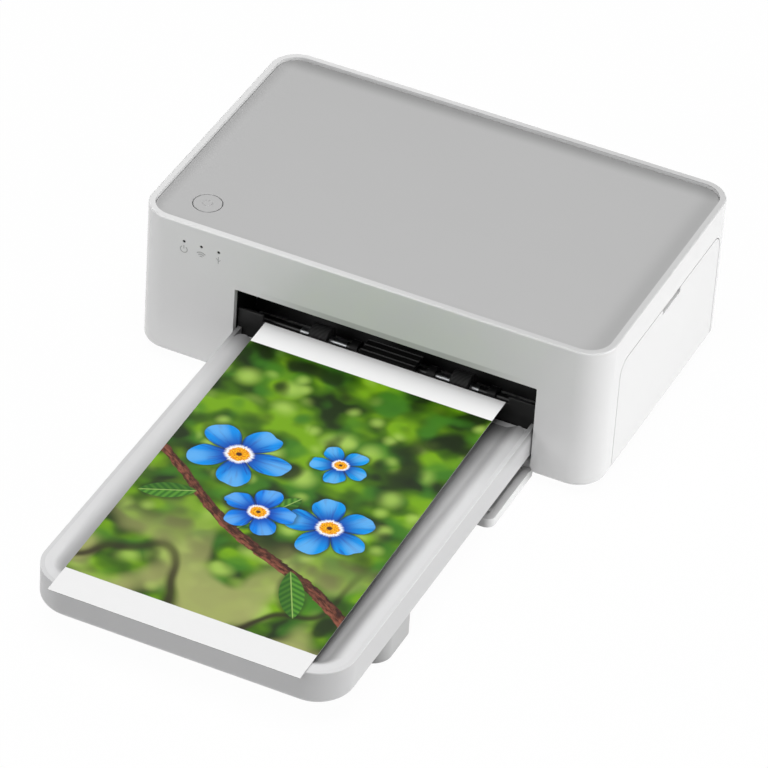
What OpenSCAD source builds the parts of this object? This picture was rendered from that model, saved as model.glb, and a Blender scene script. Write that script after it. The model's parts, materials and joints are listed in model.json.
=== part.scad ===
// Compact dye-sublimation photo printer with its paper cassette in place.
// X is to the right seen from the front, Y points to the back, Z is up.
// The origin is on the table, in the middle of the whole outline.
// Depths (named d) are measured backwards from the front face of the body.

/* [Body] */
// width of the body over its side faces
body_w = 194.5; // [186:0.5:220]
// depth of the body from the front face to the rear face
body_d = 126; // [124:0.5:140]
// height of the rim above the table
body_top = 67; // [66:0.5:80]
// gap between the table and the lower edge of the shell
shell_lift = 4; // [3.8:0.1:5]
// radius of the upright corners of the body
corner_r = 12; // [10:0.5:16]
// wall of the shell
shell_t = 2.6; // [2.4:0.1:3]
// rounding of the lower edge of the shell
shell_foot_r = 2.4; // [1:0.1:2.4]
// rounding of the upper edge of the shell
rim_r = 0.7; // [0.3:0.1:1]
// depth of the top panel below the rim
panel_recess = 1.5; // [0.8:0.1:2.5]
// thickness of the top panel
panel_t = 1.8; // [1.4:0.1:2.4]

/* [Front slot] */
// width of the slot in the front face
slot_w = 126.2; // [126:0.1:128]
// centre of the slot to the right of the middle of the body
slot_x = 8.1; // [6:0.1:10]
// height of the slot's upper edge above the table
slot_top = 44.2; // [43:0.1:48]

/* [Paper cassette] */
// width of the cassette
cassette_w = 125; // [122:0.5:125]
// length of the cassette in front of the body
cassette_out = 167; // [160:1:180]
// length of the cassette inside the body
cassette_in = 22; // [20:0.5:23]
// height of the cassette's underside above the table
cassette_z0 = 10; // [9.8:0.1:10.5]
// height of the cassette's rim above the table
cassette_z1 = 25; // [24.6:0.1:25.2]
// radius of the cassette's front corners
cassette_r = 15; // [8:0.5:20]
// wall of the cassette
cassette_t = 1.6; // [1.2:0.1:2]
// width of the sloped flanks of the output tray
tray_flank = 10; // [6:0.5:12]
// thickness of the stack of blank sheets
stack_t = 5; // [3:0.25:5]

/* [Print] */
// width of a sheet
sheet_w = 101; // [95:0.5:102]
// length of a blank sheet with both tear-off tabs
blank_len = 178; // [170:0.5:179]
// length of the finished print with what is left of its tabs
print_len = 174.8; // [160:0.1:178]
// thickness of a sheet
sheet_t = 0.25; // [0.2:0.05:0.4]
// distance from the middle of the body to the middle of the print
print_x = 7.4; // [6:0.1:9]
// depth of the print's rear edge behind the front face
print_rear_d = 3.5; // [2.5:0.1:4]
// height of the print's rear edge above the table
print_rear_z = 30.4; // [30:0.1:31]

/* [Front cover] */
// height of the open cover's underside above the table
cover_lift = 0.2; // [0.2:0.1:1]
// thickness of the front cover
cover_t = 4; // [3:0.1:4]

/* [Side door] */
// depth of the side door's front edge
door_d0 = 17.4; // [16:0.1:20]
// depth of the side door's rear edge
door_d1 = 113.6; // [110:0.1:114]
// height of the side door's upper edge
door_top = 53.8; // [52:0.1:56]
// radius of the side door's upper corners
door_r = 6; // [3:0.5:10]

/* [Button] */
// depth of the power button's centre
button_d = 18.1; // [17:0.1:22]
// distance from the left side of the body to the power button's centre
button_in = 20.75; // [19.5:0.25:23]
// radius of the power button
button_r = 5.6; // [4.5:0.1:6]
// travel of the power button
button_travel = 0.6; // [0.3:0.1:0.6]

/* [Print line] */
// height of the paper path over the platen
path_z = 30.8; // [30.6:0.1:31]
// radius of the platen roller
platen_r = 7; // [5:0.1:8]
// radius of the steel feed roller
capstan_r = 3; // [2.5:0.1:3]
// radius of the pinch roller
pinch_r = 2.5; // [2:0.1:2.5]
// radius of the pick-up tyres
tyre_r = 5.3; // [5:0.1:5.3]
// radius of the full supply roll of ribbon
supply_r = 7; // [5:0.5:7]
// radius of the take-up roll of ribbon
takeup_r = 5.5; // [4.5:0.5:7]
// module of the gear teeth
tooth_m = 0.8; // [0.7:0.05:0.8]

/* [Fits] */
// gap around moving covers and the button
cover_gap = 0.35; // [0.25:0.05:0.5]
// radial running clearance of shafts in their holes
run_fit = 0.05; // [0.02:0.01:0.08]
// gap between parts that lie close to each other
seat_gap = 0.3; // [0.2:0.05:0.4]

/* [Hidden] */
$fn = 48;
eps = 0.01;

// outline
sheet_out = print_len - print_rear_d;
front_y = (sheet_out - body_d) / 2;
half_w = body_w / 2;
inner_half_w = half_w - shell_t;
inner_d0 = shell_t;
inner_d1 = body_d - shell_t;
button_x = -half_w + button_in;

// top panel
panel_z1 = body_top - panel_recess;
panel_z0 = panel_z1 - panel_t;
ledge_w = 3;
ledge_t = 1.8;
ledge_z0 = panel_z0 - ledge_t;
panel_gap = 0.15;

// front slot
slot_l = slot_x - slot_w / 2;
slot_r = slot_x + slot_w / 2;
slot_corner_r = 0.5;
slot_foot_r = 4.5;

// side frames
liner_t = 1.5;
frame_t = 1.2;
frame_out = slot_w / 2 + liner_t + seat_gap;
left_frame_x = slot_x - frame_out - frame_t;
right_frame_x = slot_x + frame_out;
frame_d0 = 8;
fan_t = 8;
fan_d1 = inner_d1 - seat_gap;
fan_d0 = fan_d1 - fan_t;
frame_d1 = fan_d0 - 5.1;
frame_z1 = 57;
tie_r = 2;
tie_low_z = 12;
tie_high_z = 24;
tie_d1 = frame_d1 - 12;

// base plate and feet
base_t = 2;
base_z0 = shell_lift - 0.6;
base_z1 = base_z0 + base_t;
base_gap = seat_gap;
foot_r = 6;
foot_in = 20;
post_in = 8.75;
post_r = 5;
screw_r = 1.5;
screw_head_r = 2.8;
screw_head_t = 1.2;
screw_len = 11;

// side door hinge
door_axis_x = half_w - shell_t / 2;
door_axis_z = shell_lift + 2;
door_pin_r = 0.8;
door_pin_len = 2;
notch_w = 17;
notch_h = 2.6;
notch_t = 1.2;
door_mid_d = (door_d0 + door_d1) / 2;

// front cover hinge
cover_axis_d = shell_t + 2.6;
cover_axis_z = cover_axis_d + cover_lift;
cover_len = slot_top - cover_axis_z - cover_gap;
cover_z0 = cover_lift;
cover_pin_r = 1.4;
knuckle_r = 2.2;
knuckle_len = 8;
cover_l = slot_l + cover_gap;
cover_r = slot_r - cover_gap;
cover_corner_r = 3.5;
ear_t = 4;

// cassette
cassette_l = slot_x - cassette_w / 2;
cassette_rt = slot_x + cassette_w / 2;
cassette_d0 = -cassette_out;
cassette_d1 = cassette_in;
cassette_low_z = 20.3;
cassette_step_d = 3.2;
cassette_floor_t = 1.4;
cassette_floor_z = cassette_z0 + cassette_floor_t;
cassette_foot_r = 3.2;
cassette_rear_r = 2;
lid_gap = 0.05;
lid_t = 1.5;
lid_floor_z = 22.2;
lid_z1 = cassette_z1;
tray_back_d = -0.2;
step_drop = 0.5;
foot_pad_d0 = -125;
foot_pad_len = 25;
foot_pad_w = 24;
foot_pad_in = 1.2;
foot_pad_r = 8;
stack_z1 = cassette_low_z - 0.1;
stack_z0 = stack_z1 - stack_t;
stack_d1 = cassette_in - cassette_t - 4.2;
stack_d0 = stack_d1 - blank_len;
plate_t = 1.2;
plate_d0 = -60;
plate_d1 = stack_d1 - 2;
plate_half_w = sheet_w / 2 - 4.5;
plate_z1 = stack_z0;
plate_axis_z = plate_z1 - plate_t / 2;
plate_pin_r = 0.6;
rib_off = 38;
rib_t = 1.6;
spring_half_w = 6;
spring_t = 0.4;
spring_foot_d0 = plate_d0 + 18;
spring_foot_d1 = spring_foot_d0 + 11;
spring_top_d0 = spring_foot_d1 + 23;
spring_top_d1 = spring_top_d0 + 10;

// printed sheet
print_front_z = cassette_z1 + 0.05;
print_tilt = atan((print_rear_z - print_front_z) / print_len);

// print line
pickup_d = 11;
pickup_z = stack_z1 + tyre_r + seat_gap;
pickup_shaft_r = 2;
tyre_w = 7.5;
tyre_left = 30.75;
tyre_right = 28.5;
collar_w = 3.2;
collar_r = 3.6;
collar_off = 16.2;
far_collar_off = 41.6;
capstan_d = 30;
capstan_z = path_z - sheet_t / 2 - capstan_r - 0.05;
pinch_z = path_z + sheet_t / 2 + pinch_r + 0.05;
tie_d0 = capstan_d + 16;
cart_d0 = capstan_d + pinch_r + 3.5;
cart_d1 = frame_d1 - 4;
cart_z0 = 32;
cart_z1 = 48.7;
cart_l = slot_l + 3;
cart_r = inner_half_w - 9.45;
cart_end_t = 2;
cart_wall = 1.2;
cart_top_d = 18;
spool_in = 9;
spool_z = 40.2;
supply_d = cart_d0 + spool_in;
takeup_d = cart_d1 - spool_in;
head_d = (cart_d0 + cart_d1) / 2;
platen_z = path_z - sheet_t / 2 - platen_r - 0.05;
platen_shaft_r = 3;
stub_r = 2;
core_r = 3.5;
drive_r = 2.5;
ribbon_w = sheet_w + 3;

// gears
gear_w = 3;
big_teeth = 30;
small_teeth = 12;
gear_gap = (big_teeth + small_teeth) * tooth_m / 2;
gear_x1 = left_frame_x - 1;
gear_x0 = gear_x1 - gear_w;
feed_pin_dz = -9.6;
feed_pin_dd = sqrt(gear_gap * gear_gap - feed_pin_dz * feed_pin_dz);
feed_motor_d = capstan_d + feed_pin_dd;
feed_motor_z = capstan_z + feed_pin_dz;
ribbon_motor_d = takeup_d;
ribbon_motor_z = spool_z - gear_gap;
motor_x1 = gear_x0 - 4;
motor_x0 = -inner_half_w + 5.65;
cradle_half_d = 6;
cradle_in = 4;
feed_motor_r = 11;
ribbon_motor_r = 9;
motor_shaft_r = 1;

// thermal head
head_pivot_d = cart_d1 - 2;
head_pivot_z = 52.5;
pivot_r = 2;
head_half_l = slot_w / 2 - 9.1;
head_l = slot_x - head_half_l;
head_r = slot_x + head_half_l;
head_half_d = 6;
film_t = 0.12;
film_z = path_z + sheet_t / 2 + 0.2;
head_z0 = film_z + film_t + 0.08;
arm_z0 = 50;
arm_t = 2;
arm_gap = 0.1;
fin_top = 60;
fin_t = 1.2;
fin_count = 4;

// rear of the body
rear_slot_w = sheet_w + 9;
rear_slot_z0 = 26;
rear_slot_z1 = 36;
fan_size = 24;
fan_x = slot_x;
fan_z = rear_slot_z1 + 1.2 + fan_size / 2;
fan_hub_r = 5.6;
fan_tip_r = 10.2;
fan_duct_r = 11;
fan_blades = 7;
blade_len = 4.8;
blade_t = 0.8;
vent_w = 2;
vent_pitch = 4.2;
vent_count = 5;
vent_half_h = 9.5;
inlet_x = -half_w + 30.25;
inlet_z = 12.2;
inlet_r = 2.75;
inlet_pin_r = 1.2;
inlet_hole_r = 4.6;
inlet_len = 12;
inlet_half = 5.5;

// boards
board_t = 1.6;
board_z = 53.5;
board_l = -inner_half_w + 4.65;
board_r = left_frame_x - 1;
board_w = board_r - board_l;
board_d0 = 40;
board_d1 = frame_d1 - 2;
board_len = board_d1 - board_d0;
shelf_w = 12;
chip_h = 1.2;
plug_w = 5;
plug_h = 5;
switch_z1 = ledge_z0 - 3.8;
switch_z0 = switch_z1 - 1.2;
switch_x0 = button_x - 5.5;
switch_x1 = button_x + 17;
switch_d0 = 6;
switch_d1 = 30;
lens_r = 0.6;
lens_z = switch_z1 + lens_r;
lens_pitch = 7.35;
lens_x = [for (k = [0 : 2]) button_x - 0.6 + k * lens_pitch];
button_stem_r = 2;
switch_body = 6;
switch_body_h = 1.5;

white = [0.90, 0.90, 0.90];
panel_grey = [0.72, 0.72, 0.72];
black = [0.06, 0.06, 0.07];
dark = [0.16, 0.16, 0.17];
steel = [0.66, 0.67, 0.69];
rubber = [0.09, 0.09, 0.09];
board_green = [0.05, 0.30, 0.16];
alloy = [0.78, 0.79, 0.80];
brass = [0.76, 0.62, 0.28];

// block between two corners; depths are behind the front face
module block(x0, x1, d0, d1, z0, z1) {
    translate([x0, front_y + d0, z0]) cube([x1 - x0, d1 - d0, z1 - z0]);
}

// round bar along X
module bar_x(x0, x1, d, z, r) {
    translate([x0, front_y + d, z]) rotate([0, 90, 0]) cylinder(h = x1 - x0, r = r);
}

// round bar along Y
module bar_y(x, d0, d1, z, r) {
    translate([x, front_y + d0, z]) rotate([-90, 0, 0]) cylinder(h = d1 - d0, r = r);
}

// upright round bar
module bar_z(x, d, z0, z1, r) {
    translate([x, front_y + d, z0]) cylinder(h = z1 - z0, r = r);
}

// side view outline (depth, height) drawn out along X
module along_x(x0, x1) {
    translate([x0, front_y, 0]) rotate([90, 0, 90]) linear_extrude(x1 - x0) children();
}

// front view outline (x, height) drawn out along Y
module along_y(d0, d1) {
    translate([0, front_y + d1, 0]) rotate([90, 0, 0]) linear_extrude(d1 - d0) children();
}

// plan outline drawn upwards
module upright(z0, z1) {
    translate([0, front_y, z0]) linear_extrude(z1 - z0) children();
}

// rectangle between two corners with one radius for each pair of corners
module round_plan(x0, x1, d0, d1, r0, r1) {
    translate([x0 + r0, d0]) square([x1 - x0 - 2 * r0, d1 - d0]);
    translate([x0, d0 + r0]) square([x1 - x0, d1 - d0 - r0 - r1]);
    translate([x0 + r1, d0 + r0]) square([x1 - x0 - 2 * r1, d1 - d0 - r0]);
    for (x = [x0 + r0, x1 - r0]) translate([x, d0 + r0]) circle(r = r0);
    for (x = [x0 + r1, x1 - r1]) translate([x, d1 - r1]) circle(r = r1);
}

// profile (distance from the corner's centre, height) swept round the body's outline
module around_body(r) {
    w = body_w - 2 * r;
    d = body_d - 2 * r;
    translate([0, front_y + body_d / 2, 0]) {
        for (k = [0 : 3]) {
            long = (k % 2 == 0) ? d : w;
            off = (k % 2 == 0) ? w / 2 : d / 2;
            rotate([0, 0, 90 * k]) {
                translate([off, long / 2, 0]) rotate([90, 0, 0]) linear_extrude(long) children();
                translate([off, long / 2, 0]) rotate_extrude(angle = 90) children();
            }
        }
    }
}

// cut-away between a square edge and a round one, with the edge at the origin
module round_off(r) {
    difference() {
        translate([-r, 0]) square([r + 1, r]);
        translate([-r, r]) circle(r = r);
    }
    translate([-r, -1]) square([r + 1, 1 + eps]);
}

// toothed wheel in the XY plane with one tooth along +X
module gear_plan(teeth, turn) {
    pitch_r = teeth * tooth_m / 2;
    root_r = pitch_r - 1.15 * tooth_m;
    tip_r = pitch_r + 0.8 * tooth_m;
    step = 360 / teeth;
    half_root = 0.29 * step;
    half_tip = 0.12 * step;
    rotate([0, 0, turn])
        polygon([
            for (i = [0 : teeth - 1], s = [0 : 3])
                let (a = i * step + [-half_root, -half_tip, half_tip, half_root][s],
                     r = (s == 0 || s == 3) ? root_r : tip_r)
                [r * cos(a), r * sin(a)]
        ]);
}

// toothed wheel on a shaft along X
module gear_x(teeth, x0, x1, d, z, turn) {
    translate([x0, front_y + d, z]) rotate([90, 0, 90]) linear_extrude(x1 - x0) gear_plan(teeth, turn);
}

// ---- body ----

module wall_profile() {
    difference() {
        translate([corner_r - shell_t, shell_lift]) square([shell_t, body_top - shell_lift]);
        translate([corner_r, shell_lift]) round_off(shell_foot_r);
        translate([corner_r, body_top]) mirror([0, 1]) round_off(rim_r);
    }
}

module shell_profile() {
    wall_profile();
    translate([corner_r - shell_t - ledge_w, ledge_z0]) square([ledge_w + eps, ledge_t]);
}

module slot_outline() {
    translate([slot_l, 0]) square([slot_w, slot_top - slot_corner_r]);
    translate([slot_l + slot_corner_r, 0]) square([slot_w - 2 * slot_corner_r, slot_top]);
    for (x = [slot_l + slot_corner_r, slot_r - slot_corner_r])
        translate([x, slot_top - slot_corner_r]) circle(r = slot_corner_r);
    for (side = [0, 1])
        translate([side ? slot_r : slot_l, shell_lift]) mirror([side ? 0 : 1, 0]) slot_flare();
}

// rounding of the wall where the slot runs out at the lower edge
module slot_flare() {
    difference() {
        translate([-eps, -1]) square([slot_foot_r, slot_foot_r + 1]);
        translate([slot_foot_r, slot_foot_r]) circle(r = slot_foot_r);
    }
}

// outline (depth, height) of the side door, grown by a gap
module door_outline(gap) {
    w = door_d1 - door_d0 + 2 * gap;
    r = door_r + gap;
    top = door_top + gap;
    translate([door_d0 - gap, 0]) square([w, top - r]);
    translate([door_d0 - gap + r, 0]) square([w - 2 * r, top]);
    for (d = [door_d0 - gap + r, door_d1 + gap - r]) translate([d, top - r]) circle(r = r);
}

module outer_shell() {
    color(white) difference() {
        union() {
            around_body(corner_r) shell_profile();
            for (x = [-half_w + post_in, half_w - post_in], d = [post_in, body_d - post_in])
                bar_z(x, d, base_z1 + seat_gap, panel_z0, post_r);
        }
        along_y(-1, inner_d0 + ledge_w + 1) slot_outline();
        along_x(inner_half_w - 1, half_w + 1) door_outline(cover_gap);
        for (x = [-half_w + post_in, half_w - post_in], d = [post_in, body_d - post_in])
            bar_z(x, d, base_z0, base_z0 + screw_len + 1, screw_r + run_fit);
        for (x = lens_x) bar_y(x, -1, inner_d0 + 1, lens_z, lens_r + run_fit);
        bar_y(inlet_x, inner_d1 - 1, body_d + 1, inlet_z, inlet_hole_r);
        block(slot_x - rear_slot_w / 2, slot_x + rear_slot_w / 2, inner_d1 - 1, body_d + 1,
            rear_slot_z0, rear_slot_z1);
        for (i = [0 : vent_count - 1])
            block(fan_x - (vent_count - 1) * vent_pitch / 2 + i * vent_pitch - vent_w / 2,
                fan_x - (vent_count - 1) * vent_pitch / 2 + i * vent_pitch + vent_w / 2,
                inner_d1 - 1, body_d + 1, fan_z - vent_half_h, fan_z + vent_half_h);
        for (d = [door_d0 - cover_gap - door_pin_len - 0.2, door_d1 + cover_gap - 0.5])
            bar_y(door_axis_x, d, d + door_pin_len + 0.7, door_axis_z, door_pin_r + run_fit);
    }
}

module top_panel() {
    inset = shell_t + panel_gap;
    color(panel_grey) difference() {
        upright(panel_z0, panel_z1)
            round_plan(-half_w + inset, half_w - inset, inset, body_d - inset,
                corner_r - inset, corner_r - inset);
        bar_z(button_x, button_d, panel_z0 - 1, panel_z1 + 1, button_r + cover_gap);
    }
}

module power_button() {
    flange_z1 = panel_z0 - 0.05;
    color(panel_grey) difference() {
        union() {
            bar_z(button_x, button_d, flange_z1 - 0.6, panel_z1, button_r);
            bar_z(button_x, button_d, flange_z1 - 1.2, flange_z1, button_r + 1.3);
            bar_z(button_x, button_d, switch_z1 + switch_body_h + button_travel + 0.1, flange_z1,
                button_stem_r);
        }
        translate([button_x, front_y + button_d, panel_z1 - 0.2]) {
            rotate([0, 0, 125]) rotate_extrude(angle = 290) translate([1.7, 0]) square([0.35, 1]);
            translate([-0.17, 0.6, 0]) cube([0.34, 1.6, 1]);
        }
    }
}

module indicator_lenses() {
    color(dark) for (x = lens_x) bar_y(x, 0.2, switch_d0 + 1.2, lens_z, lens_r);
}

module switch_board() {
    color(board_green) {
        block(switch_x0, switch_x1, switch_d0, switch_d1, switch_z0, switch_z1);
        block(button_x - switch_body / 2, button_x + switch_body / 2, button_d - switch_body / 2,
            button_d + switch_body / 2, switch_z1 - eps, switch_z1 + switch_body_h);
        for (x = [switch_x0 + 2, switch_x1 - 2]) bar_z(x, switch_d1 - 2.5, switch_z0, panel_z0, 1.2);
    }
}

module base_outline() {
    inset = shell_t + base_gap;
    round_plan(-half_w + inset, half_w - inset, inset, body_d - inset, corner_r - inset, corner_r - inset);
}

// saddle under a motor
module cradle(d, z, r) {
    difference() {
        block(motor_x0 + cradle_in, motor_x1 - cradle_in, d - cradle_half_d, d + cradle_half_d,
            base_z1 - eps, z - r + 2.5);
        bar_x(motor_x0, motor_x1, d, z, r + 0.1);
    }
}

module base_plate() {
    color(dark) difference() {
        union() {
            upright(base_z0, base_z1) base_outline();
            for (x = [slot_l - ear_t, slot_r])
                block(x, x + ear_t, shell_t + seat_gap, frame_d0 - seat_gap, base_z0, cover_axis_z + 2.6);
            for (x = [slot_l + 6, slot_r - 12])
                block(x, x + 6, frame_d0 + 3, cassette_in - 1, base_z0, cassette_z0 - 0.1);
            cradle(feed_motor_d, feed_motor_z, feed_motor_r);
            cradle(ribbon_motor_d, ribbon_motor_z, ribbon_motor_r);
            for (d = [feed_motor_d + feed_motor_r + 6.2, ribbon_motor_d - ribbon_motor_r - 8])
                bar_z(board_l + 3, d, base_z0, board_z, 2);
        }
        block(slot_l, slot_r, 0, cover_axis_d + knuckle_r + 0.8, 0, base_z1 + 1);
        block(door_axis_x - 3, half_w, door_d0 - 1, door_d1 + 1, 0, base_z1 + 1);
        for (x = [-half_w + post_in, half_w - post_in], d = [post_in, body_d - post_in]) {
            bar_z(x, d, 0, base_z1 + 1, screw_r + 0.2);
            bar_z(x, d, 0, base_z0 + screw_head_t + 0.1, screw_head_r + 0.2);
        }
        bar_x(slot_l - ear_t - 1, slot_r + ear_t + 1, cover_axis_d, cover_axis_z, cover_pin_r + run_fit);
    }
}

module rubber_feet() {
    color(rubber) for (x = [-half_w + foot_in, half_w - foot_in], d = [foot_in, body_d - foot_in])
        bar_z(x, d, 0, base_z0, foot_r);
}

module base_screws() {
    color(steel) for (x = [-half_w + post_in, half_w - post_in], d = [post_in, body_d - post_in]) {
        bar_z(x, d, base_z0 + 0.1, base_z0 + 0.1 + screw_head_t, screw_head_r);
        bar_z(x, d, base_z0 + 0.2, base_z0 + screw_len, screw_r);
    }
}

module front_cover() {
    tip_d = cover_axis_d - cover_len;
    back_d = cover_axis_d - 1;
    rim = 3;
    color(white) {
        difference() {
            upright(cover_z0, cover_z0 + cover_t)
                round_plan(cover_l, cover_r, tip_d, back_d, cover_corner_r, 0.5);
            upright(cover_z0 + cover_t - 1.2, cover_z0 + cover_t + 1)
                round_plan(cover_l + rim, cover_r - rim, tip_d + rim + 4, back_d - 2, 1, 1);
            block(cover_l + rim, cover_r - rim, tip_d + rim, tip_d + rim + 2,
                cover_z0 + cover_t - 0.8, cover_z0 + cover_t + 1);
        }
        for (x = [cover_l, cover_r - knuckle_len]) {
            bar_x(x, x + knuckle_len, cover_axis_d, cover_axis_z, knuckle_r);
            block(x, x + knuckle_len, cover_axis_d - knuckle_r, back_d, cover_z0 + 1, cover_axis_z);
        }
        bar_x(cover_l - ear_t + 0.8, cover_l + 1, cover_axis_d, cover_axis_z, cover_pin_r);
        bar_x(cover_r - 1, cover_r + ear_t - 0.8, cover_axis_d, cover_axis_z, cover_pin_r);
    }
}

module side_door() {
    color(white) {
        difference() {
            intersection() {
                along_y(door_d0 - 1, door_d1 + 1) translate([half_w - corner_r, 0]) wall_profile();
                along_x(half_w - shell_t - 1, half_w + 1) door_outline(0);
            }
            block(half_w - notch_t, half_w + 1, door_mid_d - notch_w / 2, door_mid_d + notch_w / 2,
                door_top - notch_h, door_top + 1);
        }
        bar_y(door_axis_x, door_d0 - door_pin_len, door_d0 + 0.5, door_axis_z, door_pin_r);
        bar_y(door_axis_x, door_d1 - 0.5, door_d1 + door_pin_len, door_axis_z, door_pin_r);
    }
}

// ---- front slot ----

module slot_liner() {
    color(black) difference() {
        union() {
            for (x = [slot_l - liner_t, slot_r])
                block(x, x + liner_t, shell_t + seat_gap, cassette_in - 2, cassette_z0, slot_top + liner_t);
            block(slot_l - liner_t, slot_r + liner_t, shell_t + seat_gap, cassette_in - 2,
                slot_top, slot_top + liner_t);
            block(slot_l - liner_t, slot_r + liner_t, cassette_in - 3.5, cassette_in - 2,
                path_z + 2.4, slot_top + liner_t);
        }
        bar_x(slot_l - 5, slot_r + 5, pickup_d, pickup_z, pickup_shaft_r + 0.4);
    }
}

module exit_guide() {
    guide_d0 = shell_t + 0.9;
    guide_d1 = pickup_d - tyre_r - 0.9;
    guide_z0 = cassette_z1 + 2 * seat_gap;
    guide_z1 = print_rear_z - 0.05;
    side_z1 = guide_z1 + 3;
    print_l = print_x - sheet_w / 2 - 1;
    print_r = print_x + sheet_w / 2 + 1;
    block_l = slot_x - 12.6;
    block_r = slot_x + 10.5;
    block_d1 = pickup_d + 3.5;
    rib_h = 0.5;
    rib_pitch = 3.4;
    block_z1 = guide_z1 - rib_h;
    block_z0 = pickup_z + pickup_shaft_r + 0.4;
    color(black) {
        block(slot_l + seat_gap, slot_r - seat_gap, guide_d0, guide_d1, cassette_low_z + 0.6, guide_z1);
        block(slot_l + seat_gap, print_l, guide_d0, guide_d1, guide_z0, side_z1);
        block(print_r, slot_r - seat_gap, guide_d0, guide_d1, guide_z0, side_z1);
        block(block_l, block_r, guide_d1 - eps, block_d1, block_z0, block_z1);
        for (i = [0 : 2])
            block(block_l, block_r, block_d1 - rib_h - i * rib_pitch, block_d1 - i * rib_pitch,
                block_z1 - eps, guide_z1);
    }
}

module entry_ramp() {
    ramp_d0 = cassette_in + 0.6;
    ramp_d1 = capstan_d - capstan_r - 0.4;
    color(black) along_x(slot_l - liner_t, slot_r + liner_t)
        polygon([[ramp_d0, cassette_low_z - 3], [ramp_d0, cassette_low_z - 0.6],
            [ramp_d1, path_z - 3.5], [ramp_d1, cassette_low_z - 3]]);
}

module paper_guide() {
    guide_d0 = capstan_d + capstan_r + 0.5;
    wide_d1 = frame_d1 - 1;
    guide_z1 = path_z - sheet_t / 2 - 0.3;
    color(black) difference() {
        union() {
            block(slot_l - liner_t, slot_r + liner_t, guide_d0, wide_d1, guide_z1 - 1.2, guide_z1);
            block(slot_x - rear_slot_w / 2 + 1, slot_x + rear_slot_w / 2 - 1,
                wide_d1 - 1, inner_d1 - seat_gap,
                guide_z1 - 1.2, guide_z1);
        }
        block(head_l - 2, head_r + 2, head_d - platen_r - 0.5, head_d + platen_r + 0.5,
            guide_z1 - 2, guide_z1 + 1);
    }
}

// ---- chassis ----

module frame_holes() {
    hole_r = [
        [pickup_d, pickup_z, pickup_shaft_r], [capstan_d, capstan_z, stub_r], [capstan_d, pinch_z, 1.2],
        [head_d, platen_z, stub_r], [head_pivot_d, head_pivot_z, pivot_r]
    ];
    for (h = hole_r) bar_x(left_frame_x - 1, right_frame_x + frame_t + 1, h[0], h[1], h[2] + run_fit);
}

module left_frame() {
    color(steel) difference() {
        union() {
            block(left_frame_x, left_frame_x + frame_t, frame_d0, frame_d1, base_z1, frame_z1);
            block(left_frame_x - shelf_w, left_frame_x + eps, board_d0, board_d1, board_z - frame_t, board_z);
        }
        block(gear_x0 - 0.5, left_frame_x, takeup_d - 7, takeup_d + 7, board_z - frame_t - 1, board_z + 1);
        frame_holes();
        for (d = [supply_d, takeup_d])
            bar_x(left_frame_x - 1, left_frame_x + 2, d, spool_z, drive_r + run_fit);
    }
}

module right_frame() {
    color(steel) difference() {
        block(right_frame_x, right_frame_x + frame_t, frame_d0, frame_d1, base_z1, frame_z1);
        frame_holes();
        block(right_frame_x - 1, right_frame_x + 3, cart_d0 - 0.6, cart_d1 + 0.6,
            cart_z0 - 0.6, cart_z1 + 0.4);
    }
}

module frame_tie_bars() {
    color(steel) for (at = [[tie_d0, tie_low_z], [tie_d1, tie_low_z], [tie_d1, tie_high_z]])
        bar_x(left_frame_x + frame_t, right_frame_x, at[0], at[1], tie_r);
}

// ---- rollers ----

module pickup_shaft() {
    color(steel) bar_x(left_frame_x - 1, right_frame_x + frame_t + 1, pickup_d, pickup_z, pickup_shaft_r);
}

// ring on a shaft along X
module ring_x(x0, x1, d, z, r, bore) {
    difference() {
        bar_x(x0, x1, d, z, r);
        bar_x(x0 - 1, x1 + 1, d, z, bore);
    }
}

module pickup_tyres() {
    color(rubber) for (x = [slot_x - tyre_left, slot_x + tyre_right])
        ring_x(x - tyre_w / 2, x + tyre_w / 2, pickup_d, pickup_z, tyre_r, pickup_shaft_r + 0.02);
}

module pickup_collars() {
    color(black) for (off = [-collar_off, collar_off, far_collar_off])
        ring_x(slot_x + off - collar_w / 2, slot_x + off + collar_w / 2, pickup_d, pickup_z,
            collar_r, pickup_shaft_r + 0.02);
}

module capstan_roller() {
    color(steel) {
        bar_x(left_frame_x + frame_t + seat_gap, right_frame_x - seat_gap, capstan_d, capstan_z, capstan_r);
        bar_x(gear_x0 - 0.5, right_frame_x + frame_t + 1, capstan_d, capstan_z, stub_r);
    }
}

module capstan_gear() {
    color(white) difference() {
        gear_x(big_teeth, gear_x0, gear_x1, capstan_d, capstan_z, atan2(feed_pin_dz, feed_pin_dd));
        bar_x(gear_x0 - 1, gear_x1 + 1, capstan_d, capstan_z, stub_r + 0.02);
    }
}

module pinch_roller() {
    color(rubber) {
        bar_x(left_frame_x + frame_t + seat_gap, right_frame_x - seat_gap, capstan_d, pinch_z, pinch_r);
        bar_x(left_frame_x - 0.8, right_frame_x + frame_t + 0.8, capstan_d, pinch_z, 1.2);
    }
}

module platen_shaft() {
    color(steel) {
        bar_x(left_frame_x + frame_t + seat_gap, right_frame_x - seat_gap, head_d, platen_z, platen_shaft_r);
        bar_x(left_frame_x - 0.8, right_frame_x + frame_t + 0.8, head_d, platen_z, stub_r);
    }
}

module platen_rubber() {
    color(rubber) ring_x(head_l, head_r, head_d, platen_z, platen_r, platen_shaft_r + 0.02);
}

// ---- drives ----

module motor(d, z, r) {
    color(steel) bar_x(motor_x0, motor_x1, d, z, r);
    color(steel) bar_x(motor_x1 - eps, motor_x1 + 1, d, z, 3);
}

module feed_motor() {
    motor(feed_motor_d, feed_motor_z, feed_motor_r);
}

module ribbon_motor() {
    motor(ribbon_motor_d, ribbon_motor_z, ribbon_motor_r);
}

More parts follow.
